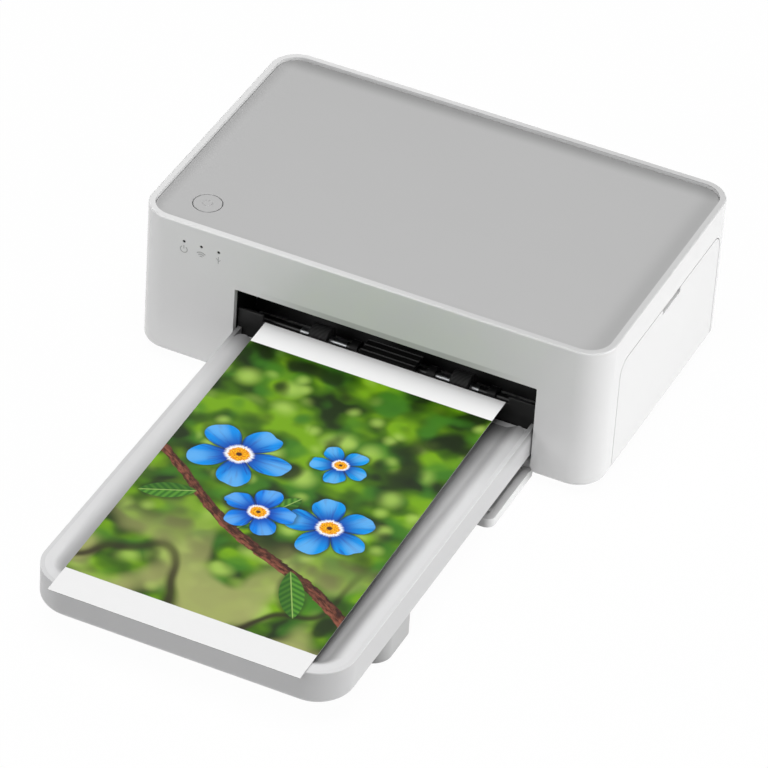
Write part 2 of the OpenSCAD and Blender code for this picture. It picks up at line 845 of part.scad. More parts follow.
// toothed pinion on its motor shaft, with a gap between teeth towards the big wheel
module pinion(d, z, towards) {
    color(brass) {
        gear_x(small_teeth, gear_x0, gear_x1, d, z, towards + 180 / small_teeth);
        bar_x(motor_x1 + 1 + seat_gap, gear_x0 + eps, d, z, motor_shaft_r);
    }
}

module feed_pinion() {
    pinion(feed_motor_d, feed_motor_z, 180 + atan2(feed_pin_dz, feed_pin_dd));
}

module ribbon_pinion() {
    pinion(ribbon_motor_d, ribbon_motor_z, 90);
}

module takeup_gear() {
    color(white) {
        gear_x(big_teeth, gear_x0, gear_x1, takeup_d, spool_z, -90);
        bar_x(gear_x1 - eps, cart_l - seat_gap, takeup_d, spool_z, drive_r);
    }
}

module supply_brake() {
    color(black) {
        bar_x(gear_x1 - 1, left_frame_x - seat_gap, supply_d, spool_z, 5);
        bar_x(gear_x1 - 1, cart_l - seat_gap, supply_d, spool_z, drive_r);
    }
}

// ---- print head ----

module thermal_head() {
    color(alloy) {
        block(head_l, head_r, head_d - 4.5, head_d + 4.5, head_z0, head_z0 + 3);
        block(head_l, head_r, head_d - head_half_d, head_d + head_half_d, head_z0 + 1.5, head_z0 + 3);
    }
}

module heat_sink() {
    pitch = (2 * head_half_d - fin_t) / (fin_count - 1);
    color(alloy) {
        block(head_l, head_r, head_d - head_half_d, head_d + head_half_d, head_z0 + 3, arm_z0);
        for (i = [0 : fin_count - 1])
            block(head_l, head_r, head_d - head_half_d + i * pitch, head_d - head_half_d + i * pitch + fin_t,
                arm_z0 - eps, fin_top);
    }
}

module head_arms() {
    arm_low = cart_z1 + 0.9;
    color(steel) for (x = [head_l - arm_t - arm_gap, head_r + arm_gap]) difference() {
        union() {
            along_x(x, x + arm_t) polygon([
                [head_d - 5, head_z0 + 4], [head_d + 5, head_z0 + 4], [head_d + 5, arm_low],
                [head_pivot_d, arm_low], [head_pivot_d, head_pivot_z + 3], [head_d - 5, head_pivot_z + 3]
            ]);
            bar_x(x, x + arm_t, head_pivot_d, head_pivot_z, 3);
        }
        bar_x(x - 1, x + arm_t + 1, head_pivot_d, head_pivot_z, pivot_r + 0.02);
    }
}

module head_pivot() {
    color(steel)
        bar_x(left_frame_x - 0.8, right_frame_x + frame_t + 0.8, head_pivot_d, head_pivot_z, pivot_r);
}

// ---- ribbon cartridge ----

module cartridge_frame() {
    color(dark) difference() {
        union() {
            for (x = [cart_l, cart_r - cart_end_t])
                block(x, x + cart_end_t, cart_d0, cart_d1, cart_z0, cart_z1);
            for (d = [cart_d0, cart_d1 - cart_wall])
                block(cart_l, cart_r, d, d + cart_wall, cart_z0, cart_z1);
            block(cart_l, cart_r, cart_d0, cart_d0 + cart_top_d, cart_z1 - cart_wall, cart_z1);
            block(cart_l, cart_r, cart_d1 - cart_top_d, cart_d1, cart_z1 - cart_wall, cart_z1);
        }
        for (d = [supply_d, takeup_d]) bar_x(cart_l - 1, cart_r + 1, d, spool_z, stub_r + run_fit);
    }
}

module ribbon_film() {
    low = film_z;
    flat = head_half_d + 1;
    color([0.45, 0.12, 0.30]) along_x(slot_x - ribbon_w / 2, slot_x + ribbon_w / 2) polygon([
        [supply_d, spool_z - supply_r - 0.3], [head_d - flat, low], [head_d + flat, low],
        [takeup_d, spool_z - takeup_r - 0.3], [takeup_d, spool_z - takeup_r - 0.3 + film_t],
        [head_d + flat, low + film_t], [head_d - flat, low + film_t],
        [supply_d, spool_z - supply_r - 0.3 + film_t]
    ]);
}

module spool(d) {
    color(white) {
        bar_x(cart_l + cart_end_t + seat_gap, cart_r - cart_end_t - seat_gap, d, spool_z, core_r);
        bar_x(cart_l, cart_r, d, spool_z, stub_r);
    }
}

module supply_spool() {
    spool(supply_d);
}

module takeup_spool() {
    spool(takeup_d);
}

module supply_roll() {
    color([0.75, 0.62, 0.12])
        ring_x(slot_x - ribbon_w / 2, slot_x + ribbon_w / 2, supply_d, spool_z, supply_r, core_r + 0.02);
}

module takeup_roll() {
    color([0.45, 0.12, 0.30])
        ring_x(slot_x - ribbon_w / 2, slot_x + ribbon_w / 2, takeup_d, spool_z, takeup_r, core_r + 0.02);
}

// ---- electronics ----

module main_board() {
    color(board_green) block(board_l, board_r, board_d0, board_d1, board_z, board_z + board_t);
}

// middle and half size of each chip as shares of the board's width and length
module board_chips() {
    color(black) for (c = [[0.32, 0.22, 0.22, 0.10], [0.36, 0.52, 0.16, 0.12], [0.64, 0.78, 0.13, 0.07]])
        block(board_l + (c[0] - c[2]) * board_w, board_l + (c[0] + c[2]) * board_w,
            board_d0 + (c[1] - c[3]) * board_len, board_d0 + (c[1] + c[3]) * board_len,
            board_z + board_t, board_z + board_t + chip_h);
}

module board_connectors() {
    color(white) for (share = [0.12, 0.33, 0.54])
        block(board_r - 1 - plug_w, board_r - 1, board_d0 + share * board_len - plug_w,
            board_d0 + share * board_len + plug_w, board_z + board_t, board_z + board_t + plug_h);
}

module power_inlet() {
    color(black) {
        difference() {
            union() {
                block(inlet_x - inlet_half, inlet_x + inlet_half, inner_d1 - inlet_len, inner_d1 - seat_gap,
                    base_z1 + 0.1, inlet_z + inlet_half);
                bar_y(inlet_x, inner_d1 - 1, body_d - 0.4, inlet_z, inlet_hole_r - 0.3);
            }
            bar_y(inlet_x, body_d - 10.4, body_d, inlet_z, inlet_r);
        }
        bar_y(inlet_x, body_d - 10.6, body_d - 1.5, inlet_z, inlet_pin_r);
    }
}

module fan_frame() {
    half = fan_size / 2;
    color(black) {
        difference() {
            block(fan_x - half, fan_x + half, fan_d0, fan_d1, fan_z - half, fan_z + half);
            bar_y(fan_x, fan_d0 - 1, fan_d1 + 1, fan_z, fan_duct_r);
        }
        bar_y(fan_x, fan_d1 - 1.5, fan_d1, fan_z, fan_hub_r);
        for (a = [0, 120, 240]) translate([fan_x, 0, fan_z]) rotate([0, a, 0]) translate([-fan_x, 0, -fan_z])
            block(fan_x - 1, fan_x + 1, fan_d1 - 1.5, fan_d1,
                fan_z + fan_hub_r - 1, fan_z + fan_duct_r + 0.6);
    }
}

module fan_rotor() {
    color(dark) {
        bar_y(fan_x, fan_d0 + 0.6, fan_d1 - 1.8, fan_z, fan_hub_r);
        for (i = [1 : fan_blades])
            translate([fan_x, front_y + fan_d0 + 3.2, fan_z]) rotate([0, i * 360 / fan_blades, 0])
            rotate([0, 0, 35]) translate([-blade_len / 2, -blade_t / 2, fan_hub_r - 0.6])
                cube([blade_len, blade_t, fan_tip_r - fan_hub_r]);
    }
}

// ---- paper cassette ----

module cassette_solid() {
    cut_r = cassette_foot_r;
    difference() {
        upright(cassette_z0, cassette_z1)
            round_plan(cassette_l, cassette_rt, cassette_d0, cassette_d1, cassette_r, cassette_rear_r);
        for (side = [0, 1]) {
            edge_x = side ? cassette_rt : cassette_l;
            corner_x = side ? cassette_rt - cassette_r : cassette_l + cassette_r;
            along_y(cassette_d0 + cassette_r, cassette_d1 + 1)
                translate([edge_x, cassette_z0]) mirror([side ? 0 : 1, 0]) round_off(cut_r);
            translate([corner_x, front_y + cassette_d0 + cassette_r, cassette_z0])
                rotate([0, 0, side ? -90 : 180]) rotate_extrude(angle = 90)
                translate([cassette_r, 0]) round_off(cut_r);
        }
        along_x(cassette_l + cassette_r, cassette_rt - cassette_r)
            translate([cassette_d0, cassette_z0]) mirror([1, 0]) round_off(cut_r);
    }
}

module cassette_base() {
    wall = cassette_t;
    ear_x = plate_half_w + 0.3;
    color(white) difference() {
        union() {
            difference() {
                cassette_solid();
                upright(cassette_floor_z + 1.5, cassette_z1 + 1)
                    round_plan(cassette_l + wall, cassette_rt - wall, cassette_d0 + wall, cassette_d1 - wall,
                        cassette_r - wall, 1);
                upright(cassette_floor_z, cassette_z1)
                    round_plan(cassette_l + 4, cassette_rt - 4, cassette_d0 + 4, cassette_d1 - wall,
                        cassette_r - 4, 1);
                block(cassette_l - 1, cassette_rt + 1, cassette_step_d, cassette_d1 + 1,
                    cassette_low_z, cassette_z1 + 1);
            }
            for (x = [slot_x - rib_off, slot_x, slot_x + rib_off])
                block(x - rib_t / 2, x + rib_t / 2, stack_d0 + 6, plate_d0 - 6,
                    cassette_floor_z - eps, stack_z0);
            for (x = [slot_x - ear_x - 3, slot_x + ear_x])
                block(x, x + 3, plate_d0 - 2, plate_d0 + 2, cassette_floor_z - eps, stack_z0 - 0.05);
        }
        bar_x(slot_x - ear_x - 2.5, slot_x + ear_x + 2.5, plate_d0, plate_axis_z - 0.15,
            plate_pin_r + run_fit);
    }
}

module cassette_lid() {
    inset = cassette_t + lid_gap;
    l = cassette_l + inset;
    r = cassette_rt - inset;
    d0 = cassette_d0 + inset;
    lid_r = cassette_r - inset;
    edge = 0.5;
    color(white) difference() {
        union() {
            upright(lid_floor_z - lid_t, lid_z1) round_plan(l, r, d0, tray_back_d, lid_r, 4);
            upright(lid_floor_z - lid_t, lid_floor_z - step_drop)
                round_plan(l, r, d0, cassette_step_d, lid_r, 1);
        }
        hull() {
            upright(lid_z1, lid_z1 + 1)
                round_plan(l + edge, r - edge, d0 + edge, cassette_step_d, lid_r - edge, 1, $fn = 32);
            upright(lid_floor_z, lid_z1)
                round_plan(l + tray_flank, r - tray_flank, d0 + tray_flank, cassette_step_d, 3, 1, $fn = 32);
        }
    }
}

module cassette_feet() {
    color(white) difference() {
        for (side = [0, 1]) {
            x0 = side ? cassette_rt - foot_pad_w - foot_pad_in : cassette_l + foot_pad_in;
            upright(0, cassette_z0 + cassette_foot_r)
                round_plan(x0, x0 + foot_pad_w, foot_pad_d0, foot_pad_d0 + foot_pad_len, foot_pad_r, 3);
        }
        cassette_solid();
    }
}

module paper_stack() {
    color([0.96, 0.96, 0.96])
        block(slot_x - sheet_w / 2, slot_x + sheet_w / 2, stack_d0, stack_d1, stack_z0, stack_z1);
}

module lift_plate() {
    color(steel) {
        block(slot_x - plate_half_w, slot_x + plate_half_w, plate_d0, plate_d1, plate_z1 - plate_t, plate_z1);
        bar_x(slot_x - plate_half_w - 2.3, slot_x + plate_half_w + 2.3, plate_d0, plate_axis_z - 0.15,
            plate_pin_r);
    }
}

module lift_spring() {
    t = spring_t;
    top = plate_z1 - plate_t;
    low = cassette_floor_z;
    color(steel) along_x(slot_x - spring_half_w, slot_x + spring_half_w) polygon([
        [spring_foot_d0, low], [spring_foot_d1, low], [spring_top_d0, top - t], [spring_top_d1, top - t],
        [spring_top_d1, top], [spring_top_d0 - 0.1, top], [spring_foot_d1 - 0.1, low + t],
        [spring_foot_d0, low + t]
    ]);
}

module print_sheet() {
    color([0.95, 0.95, 0.95]) translate([print_x - sheet_w / 2, front_y - sheet_out, print_front_z])
        rotate([print_tilt, 0, 0]) cube([sheet_w, print_len, sheet_t]);
}

outer_shell();
top_panel();
power_button();
indicator_lenses();
switch_board();
base_plate();
rubber_feet();
base_screws();
front_cover();
side_door();
slot_liner();
exit_guide();
entry_ramp();
paper_guide();
left_frame();
right_frame();
frame_tie_bars();
pickup_shaft();
pickup_tyres();
pickup_collars();
capstan_roller();
capstan_gear();
pinch_roller();
platen_shaft();
platen_rubber();
feed_motor();
feed_pinion();
ribbon_motor();
ribbon_pinion();
takeup_gear();
supply_brake();
thermal_head();
heat_sink();
head_arms();
head_pivot();
cartridge_frame();
ribbon_film();
supply_spool();
supply_roll();
takeup_spool();
takeup_roll();
main_board();
board_chips();
board_connectors();
power_inlet();
fan_frame();
fan_rotor();
cassette_base();
cassette_lid();
cassette_feet();
paper_stack();
lift_plate();
lift_spring();
print_sheet();
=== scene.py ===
# %% [markdown]
# # A compact photo printer
# The printer is a low white box with a sunk grey top. A paper cassette sticks out of its front slot,
# and a finished print lies on the cassette's tray. The exact solids come in as a fixed frame, and this
# lesson dresses them: soft edges, finishes, the sunk tray and the picture on the print.

# %% Load the exact part
import json
import math

import bmesh
import bpy
from mathutils import Matrix, Vector


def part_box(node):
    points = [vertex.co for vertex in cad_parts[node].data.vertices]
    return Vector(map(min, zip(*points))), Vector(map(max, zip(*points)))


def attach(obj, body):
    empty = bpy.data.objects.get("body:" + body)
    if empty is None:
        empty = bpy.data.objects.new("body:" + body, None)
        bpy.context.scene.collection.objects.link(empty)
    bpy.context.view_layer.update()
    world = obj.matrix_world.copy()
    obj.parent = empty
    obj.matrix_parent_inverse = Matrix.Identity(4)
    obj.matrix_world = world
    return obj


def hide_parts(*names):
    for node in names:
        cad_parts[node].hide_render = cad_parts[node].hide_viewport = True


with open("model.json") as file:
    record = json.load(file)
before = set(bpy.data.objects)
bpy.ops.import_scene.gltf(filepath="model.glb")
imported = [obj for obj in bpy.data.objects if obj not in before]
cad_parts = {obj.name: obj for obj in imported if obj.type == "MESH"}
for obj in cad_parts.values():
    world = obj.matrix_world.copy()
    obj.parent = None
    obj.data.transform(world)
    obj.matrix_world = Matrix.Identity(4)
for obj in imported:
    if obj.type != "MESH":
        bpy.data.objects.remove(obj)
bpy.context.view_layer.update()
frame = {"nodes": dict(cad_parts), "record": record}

MM = 0.001
shell_low, shell_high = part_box("outer_shell")
front_y = shell_low.y

# %% [markdown]
# ## Camera
# A product photographer stands well back with a long lens, so the sides of the box stay nearly
# parallel. A camera could be aimed with a Track To constraint, but that leaves its tilt to Blender.
# Here its own right and up directions are written down, which fixes its turn fully.

# %% Camera
camera_place = Vector((0.651516, -1.483845, 1.275861))
view_right = Vector((0.90139, 0.42957, 0.05444))
view_up = Vector((-0.30076, 0.53069, 0.79241))
photo_width = 768
focal_pixels = 5444.99
sensor_width = 36

camera_data = bpy.data.cameras.new("camera")
camera_data.sensor_width = sensor_width
camera_data.lens = focal_pixels / photo_width * sensor_width
camera_data.clip_end = 50
camera = bpy.data.objects.new("camera", camera_data)
bpy.context.scene.collection.objects.link(camera)
turn = Matrix((view_right, view_up, view_right.cross(view_up))).transposed()
camera.matrix_world = Matrix.Translation(camera_place) @ turn.to_4x4()
bpy.context.scene.camera = camera
bpy.context.scene.view_settings.view_transform = "Standard"
print("lens", round(camera_data.lens, 1), "mm")

# %% [markdown]
# ## Pen for shader nodes
# Every finish below is a small graph of shader nodes. Placing and linking each node by hand takes
# three or four lines, and the idea gets lost in them. This pen places a node, fills its sockets with
# numbers, colours or other nodes, and returns its result, so that a finish reads like a formula.

# %% Node pen
class NodePen:
    """Strings the nodes of one node tree together."""

    def __init__(self, tree):
        self.nodes = tree.nodes
        self.links = tree.links
        self.shader = tree.nodes.get("Principled BSDF")

    def put(self, value, socket):
        """Links a socket's value, or sets a colour or a number."""
        if isinstance(value, bpy.types.NodeSocket):
            self.links.new(value, socket)
        elif isinstance(value, tuple):
            socket.default_value = (*value, 1)
        else:
            socket.default_value = value

    def surface(self, socket_name, value):
        """Puts a value on the surface shader's socket of that name."""
        self.put(value, self.shader.inputs[socket_name])

    def math(self, operation, *values):
        node = self.nodes.new("ShaderNodeMath")
        node.operation = operation
        for value, socket in zip(values, node.inputs):
            self.put(value, socket)
        return node.outputs[0]

    def plus(self, first, second):
        return self.math("ADD", first, second)

    def minus(self, first, second):
        return self.math("SUBTRACT", first, second)

    def times(self, first, second):
        return self.math("MULTIPLY", first, second)

    def ramp(self, value, low, high, out_low=0.0, out_high=1.0, curve="SMOOTHSTEP"):
        node = self.nodes.new("ShaderNodeMapRange")
        node.interpolation_type = curve
        for source, socket in zip((value, low, high, out_low, out_high), list(node.inputs)[:5]):
            self.put(source, socket)
        return node.outputs["Result"]

    def over(self, below, above, mask, blend="MIX"):
        """Lays one colour over another where the mask is 1."""
        node = self.nodes.new("ShaderNodeMix")
        node.data_type = "RGBA"
        node.blend_type = blend
        self.put(mask, node.inputs["Factor"])
        self.put(below, node.inputs["A"])
        self.put(above, node.inputs["B"])
        return node.outputs["Result"]

    def mixed_shader(self, share, first, second):
        node = self.nodes.new("ShaderNodeMixShader")
        for source, socket in zip((share, first, second), node.inputs):
            self.put(source, socket)
        return node.outputs[0]


print("pen", [name for name in vars(NodePen) if not name.startswith("_")])

# %% [markdown]
# ## Places and noise
# A pattern needs a place to start from. Object coordinates keep a grain at its real size on every
# piece, and they travel with a piece when it moves. Noise and bump nodes read that place.

# %% Pen for places, noise and bumps
class PatternPen(NodePen):
    """A pen that also knows places, noise and bumps."""

    def place(self, kind="Object"):
        return self.nodes.new("ShaderNodeTexCoord").outputs[kind]

    def axes(self, kind="Object"):
        parts = self.nodes.new("ShaderNodeSeparateXYZ")
        self.links.new(self.place(kind), parts.inputs[0])
        return parts.outputs

    def vector(self, x, y, z):
        node = self.nodes.new("ShaderNodeCombineXYZ")
        for value, socket in zip((x, y, z), node.inputs):
            self.put(value, socket)
        return node.outputs[0]

    def mapped(self, place, setting, values):
        """A place that is stretched or turned, by the Mapping node's setting of that name."""
        node = self.nodes.new("ShaderNodeMapping")
        node.inputs[setting].default_value = values
        self.links.new(place, node.inputs["Vector"])
        return node.outputs["Vector"]

    def noise_at(self, place, scale, detail=2.0):
        node = self.nodes.new("ShaderNodeTexNoise")
        node.inputs["Scale"].default_value = scale
        node.inputs["Detail"].default_value = detail
        self.links.new(place, node.inputs["Vector"])
        return node.outputs["Fac"]

    def noise(self, x, y, scale, detail=2.0, z=0.0):
        return self.noise_at(self.vector(x, y, z), scale, detail)

    def spread(self, noise, low, high):
        """Stretches the usual range of a noise over the range from low to high."""
        return self.ramp(noise, 0.3, 0.7, low, high, curve="LINEAR")

    def bump(self, height, distance, strength):
        node = self.nodes.new("ShaderNodeBump")
        node.inputs["Distance"].default_value = distance
        node.inputs["Strength"].default_value = strength
        self.links.new(height, node.inputs["Height"])
        self.surface("Normal", node.outputs["Normal"])


def new_finish(name, pen_type=PatternPen):
    finish = bpy.data.materials.new(name)
    finish.use_nodes = True
    return finish, pen_type(finish.node_tree)


print("pattern pen", [name for name in vars(PatternPen) if not name.startswith("_")])

# %% [markdown]
# ## Backdrop
# The photographer's backdrop is white paper, far brighter than the light that it throws on the object.
# A bright world would wash out the printer's greys, so the world is bright only for the rays that look
# at it: camera rays, and the mirror and glass rays of shiny pieces. All other rays meet a dim fill.

# %% World
def backdrop_share(pen, share):
    """How much of a ray sees the white backdrop: camera, mirror and glass rays."""
    ray = pen.nodes.new("ShaderNodeLightPath")
    total = ray.outputs["Is Camera Ray"]
    for kind in ("Is Glossy Ray", "Is Transmission Ray"):
        total = pen.math("MAXIMUM", total, ray.outputs[kind])
    return pen.times(total, share)


world = bpy.data.worlds.new("studio")
bpy.context.scene.world = world
world.use_nodes = True
world_pen = NodePen(world.node_tree)
fill = world_pen.nodes["Background"]
backdrop_light = world_pen.nodes.new("ShaderNodeBackground")
for light, strength in ((fill, 0.06), (backdrop_light, 1.0)):
    light.inputs["Color"].default_value = (1, 1, 1, 1)
    light.inputs["Strength"].default_value = strength
both = world_pen.mixed_shader(backdrop_share(world_pen, 1.0), fill.outputs[0], backdrop_light.outputs[0])
world_pen.put(both, world_pen.nodes["World Output"].inputs["Surface"])
print("world nodes", len(world_pen.nodes))

# %% [markdown]
# ## Lamps
# The printer is lit from above and from the right, and the front face stays in soft half-light. Sun or
# point lamps would draw hard shadows, so three wide panels stand in for a studio's soft boxes. The
# widest hangs overhead, a little in front, so that the sheet below the front face is lit too. A low
# panel at the right whitens the side, and a weak one at the front left opens the shadows.

# %% Lamps
body_middle = Vector((0, 0.085, 0.04))


def soft_panel(name, place, width, height, watts):
    """A rectangular lamp that faces the middle of the body."""
    lamp = bpy.data.lights.new(name, "AREA")
    lamp.shape = "RECTANGLE"
    lamp.size = width
    lamp.size_y = height
    lamp.energy = watts
    holder = bpy.data.objects.new(name, lamp)
    bpy.context.scene.collection.objects.link(holder)
    holder.location = place
    holder.rotation_euler = (body_middle - Vector(place)).to_track_quat("-Z", "Y").to_euler()


soft_panel("overhead_panel", (0.1, -0.3, 2.2), width=1.6, height=1.4, watts=42)
soft_panel("right_panel", (2.2, 0.4, 0.3), width=1.4, height=0.8, watts=37)
soft_panel("front_left_panel", (-1.2, -1.6, 1.2), width=1.4, height=1.2, watts=15)

# %% [markdown]
# ## Moulded plastic
# Nearly all of this printer is moulded plastic. A flat colour would look like paint on a screen, and
# a scanned texture would need an image. One recipe makes them all instead: a base colour with a faint
# cloudiness, a roughness that wanders a little, and a fine grain in the bump.

# %% Recipe of moulded plastic
def moulded_plastic(name, colour, roughness, grain=900, depth=0.05 * MM, strength=0.1, cloud=0.02,
                    coat=0.0, gloss=0.5):
    """Plastic with faint clouds of about 3 cm and a fine grain; depth is the height of the grain."""
    cloud_scale, cloud_detail = 35, 3
    finish, pen = new_finish(name)
    place = pen.place()
    clouds = pen.noise_at(place, cloud_scale, cloud_detail)
    dark = tuple(c * (1 - cloud) for c in colour)
    pen.surface("Base Color", pen.over(dark, colour, clouds))
    wander = min(0.03, roughness * 0.25)
    pen.surface("Roughness", pen.spread(clouds, roughness - wander, roughness + wander))
    pen.bump(pen.noise_at(place, grain, 1), depth, strength)
    pen.surface("Coat Weight", coat)
    pen.surface("Coat Roughness", 0.08)
    pen.surface("Specular IOR Level", gloss)
    return finish


lens_dark = moulded_plastic("lens_dark", (0.02, 0.02, 0.02), 0.2)
icon_grey = moulded_plastic("icon_grey", (0.40, 0.40, 0.40), 0.35)
gear_white = moulded_plastic("gear_white", (0.72, 0.71, 0.66), 0.4, strength=0.2)
foot_white = moulded_plastic("foot_white", (0.42, 0.42, 0.42), 0.4, strength=0.2)
print("finishes", [finish.name for finish in bpy.data.materials])

# %% [markdown]
# ## Black plastics
# The works behind the slot are black, but not equally black: the slot's liner is matt and swallows
# light, the ribbed exit guide has a sheen on its ribs, and the chassis is a dark grey. Each gets its
# own gloss, because in the dark only the sheen tells the pieces apart.

# %% Black plastics
inner_black = moulded_plastic("inner_black", (0.006, 0.006, 0.0065), 0.5, grain=1200, strength=0.4,
                              gloss=0.25)
liner_black = moulded_plastic("liner_black", (0.004, 0.004, 0.004), 0.5, grain=1200, strength=0.4,
                              gloss=0.08)
guide_black = moulded_plastic("guide_black", (0.014, 0.014, 0.014), 0.45, grain=1200, strength=0.4,
                              gloss=0.3)
chassis_dark = moulded_plastic("chassis_dark", (0.10, 0.10, 0.105), 0.5, grain=1200, strength=0.4)
print("finishes", len(bpy.data.materials))

# %% [markdown]
# ## Shade by place
# On the real printer the rim gets a touch less light than the walls, and faces near the slot and near
# walls lose light to them. More lamps and flags could copy that, but they would change every other face
# too. So the shade is painted instead: a finish may darken by place, multiplied by a share where all the
# given ramps are full.

# %% Shade by place
def shade_where(finish, share, *ramps):
    """Paints shade: multiplies the base colour by share where every ramp is full: an axis, a start and an
    end.
    """
    pen = PatternPen(finish.node_tree)
    base = pen.shader.inputs["Base Color"].links[0].from_socket
    axes = pen.axes()
    full = 1.0
    for axis, start, end in ramps:
        full = pen.times(full, pen.ramp(axes[axis], start, end))
    pen.surface("Base Color", pen.over(base, (share, share, share), full, "MULTIPLY"))


shell_white = moulded_plastic("shell_white", (0.74, 0.74, 0.74), 0.08, grain=500, depth=0.01 * MM,
                              strength=0.05, gloss=0.4)
# Painted shade: the top band of the rim is darker, more so towards the right.
rim_band = ("Z", shell_high.z - 0.5 * MM, shell_high.z - 0.15 * MM)
rim_left_to_right = ("X", -90 * MM, 70 * MM)
shade_where(shell_white, 0.79, rim_band, rim_left_to_right)

# Painted shade: a band along the top edge of the slot on the front face, where the real edge rolls inwards
# and faces down. It fades out towards both ends of the slot.
slot_header = ("Z", 47.0 * MM, 46.2 * MM)
front_skin = ("Y", front_y + 1.2 * MM, front_y + 0.6 * MM)
header_from_left = ("X", -50 * MM, -5 * MM)
header_from_right = ("X", 70.5 * MM, 35 * MM)
shade_where(shell_white, 0.68, slot_header, front_skin, header_from_left, header_from_right)
print("shell_white nodes", len(shell_white.node_tree.nodes))

# %% [markdown]
# ## Grey top
# The top panel is a matt plate that lies below the rim, with a fine spark-eroded grain. The rim takes
# light from its border, mostly at the rear, so painted shade darkens the plate a little towards three of
# its edges.

# %% Grey top
panel_grey = moulded_plastic("panel_grey", (0.455, 0.455, 0.455), 0.55, grain=1600, strength=0.5,
                             cloud=0.03)
panel_low, panel_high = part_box("top_panel")
# Painted shade near the left, right and rear edges of the plate.
shade_where(panel_grey, 0.80, ("X", panel_low.x + 6 * MM, panel_low.x))
shade_where(panel_grey, 0.86, ("X", panel_high.x - 11 * MM, panel_high.x))
shade_where(panel_grey, 0.58, ("Y", panel_high.y - 9 * MM, panel_high.y))
print("panel", [round(v, 4) for v in panel_high - panel_low])

# %% [markdown]
# ## Cassette and tray
# The cassette is a satin white, duller than the body. Its walls stand below the rim and get painted shade,
# the left part of the rim gets a little painted shade, its tray sinks between the walls, and the part near
# the slot gets the body's shade painted on. The tray is a finish of its own, because its painted shades
# follow its depth and not the walls.

# %% Cassette and tray
cassette_white = moulded_plastic("cassette_white", (0.68, 0.68, 0.685), 0.34, strength=0.2)
below_rim = ("Z", 24.8 * MM, 24.4 * MM)
on_rim = ("Z", 24.4 * MM, 24.8 * MM)
up_to_rim = ("Z", 20 * MM, 24.4 * MM)
# Painted shade: the walls below the rim, the left part of the rim, and the upper parts near the slot, which
# lie in the body's shade.
shade_where(cassette_white, 0.77, below_rim)
shade_where(cassette_white, 0.94, ("X", 30 * MM, -30 * MM), on_rim)
shade_where(cassette_white, 0.66, ("Y", -12 * MM, 20 * MM), up_to_rim)
shade_where(cassette_white, 0.40, ("Y", 10 * MM, 24 * MM), up_to_rim)

tray_white = moulded_plastic("tray_white", (0.70, 0.70, 0.705), 0.34, strength=0.2)
# Painted shade: the flanks darken down to the floor, which the sheet above shades, more so towards the front,
# and the whole tray darkens near the slot in the body's shade.
tray_sink = ("Z", 25.0 * MM, 22.3 * MM)
shade_where(tray_white, 0.80, tray_sink)
shade_where(tray_white, 0.70, tray_sink, ("Y", -30 * MM, -115 * MM))
shade_where(tray_white, 0.66, ("Y", -25 * MM, 18 * MM))
shade_where(tray_white, 0.36, ("Y", 7 * MM, 24 * MM))
print("cassette_white nodes", len(cassette_white.node_tree.nodes))

# %% [markdown]
# ## Sheet metal and ground shafts
# The inner pieces show when the side door is open, so they get true finishes too. Rolled sheet and
# ground shafts carry fine streaks along the way they were worked. An anisotropic shader could hint at
# them, but a noise that is stretched along x draws the streaks themselves.

# %% Brushed metal
def brushed_metal(name, colour, roughness, stretch=(2, 60, 60)):
    """Bare metal with streaks along x, where the noise is stretched."""
    streak_scale, streak_detail, wander = 60, 4, 0.06
    finish, pen = new_finish(name)
    streaks = pen.noise_at(pen.mapped(pen.place(), "Scale", stretch), streak_scale, streak_detail)
    dark = tuple(c * 0.9 for c in colour)
    pen.surface("Base Color", pen.over(dark, colour, streaks))
    pen.surface("Roughness", pen.spread(streaks, roughness - wander, roughness + wander))
    pen.bump(streaks, 0.01 * MM, 0.3)
    pen.surface("Metallic", 1)
    return finish


shaft_streaks = (1, 90, 90)
frame_steel = brushed_metal("frame_steel", (0.56, 0.57, 0.58), 0.38)
shaft_steel = brushed_metal("shaft_steel", (0.42, 0.43, 0.44), 0.3, shaft_streaks)
head_alloy = brushed_metal("head_alloy", (0.74, 0.75, 0.76), 0.4)
pinion_brass = brushed_metal("pinion_brass", (0.72, 0.50, 0.20), 0.3)
print("finishes", len(bpy.data.materials))

# %% [markdown]
# ## Sleeved shaft
# The pick-up shaft is steel, and black sleeves cover it between the places where it shows. The sleeves
# could be rings of their own, but they are as thin as tape. A mask along x paints them on the shaft,
# and the same mask switches the metal off where a sleeve lies.

# %% Sleeved shaft
def sleeve_over(finish, bright_spans):
    """Black sleeves cover the shaft, except for the spans along x, in millimetres, of bare steel."""
    pen = PatternPen(finish.node_tree)
    x = pen.axes()["X"]
    shown = 0.0
    for start, end in bright_spans:
        away = pen.math("ABSOLUTE", pen.minus(x, (start + end) / 2 * MM))
        inside = pen.math("LESS_THAN", away, (end - start) / 2 * MM)
        shown = pen.math("MAXIMUM", shown, inside)
    steel = pen.shader.inputs["Base Color"].links[0].from_socket
    pen.surface("Base Color", pen.over((0.006, 0.006, 0.006), steel, shown))
    pen.surface("Metallic", shown)


sleeved_steel = brushed_metal("sleeved_steel", (0.36, 0.37, 0.38), 0.32, shaft_streaks)
bare_spans = [(-31, -26), (-19.5, -11.5), (25, 33.5), (40, 44)]
sleeve_over(sleeved_steel, bare_spans)
print("bare spans", len(bare_spans))

# %% [markdown]
# ## Rubber, board, film and paper
# The pick-up tyres are cast with slanting ridges that grip the sheet. They are far too fine to model,
# so a wave texture draws them and raises them in the bump. The plain rubber, the green solder mask, the
# glossy dye film and the blank sheets are variants of the moulded recipe.

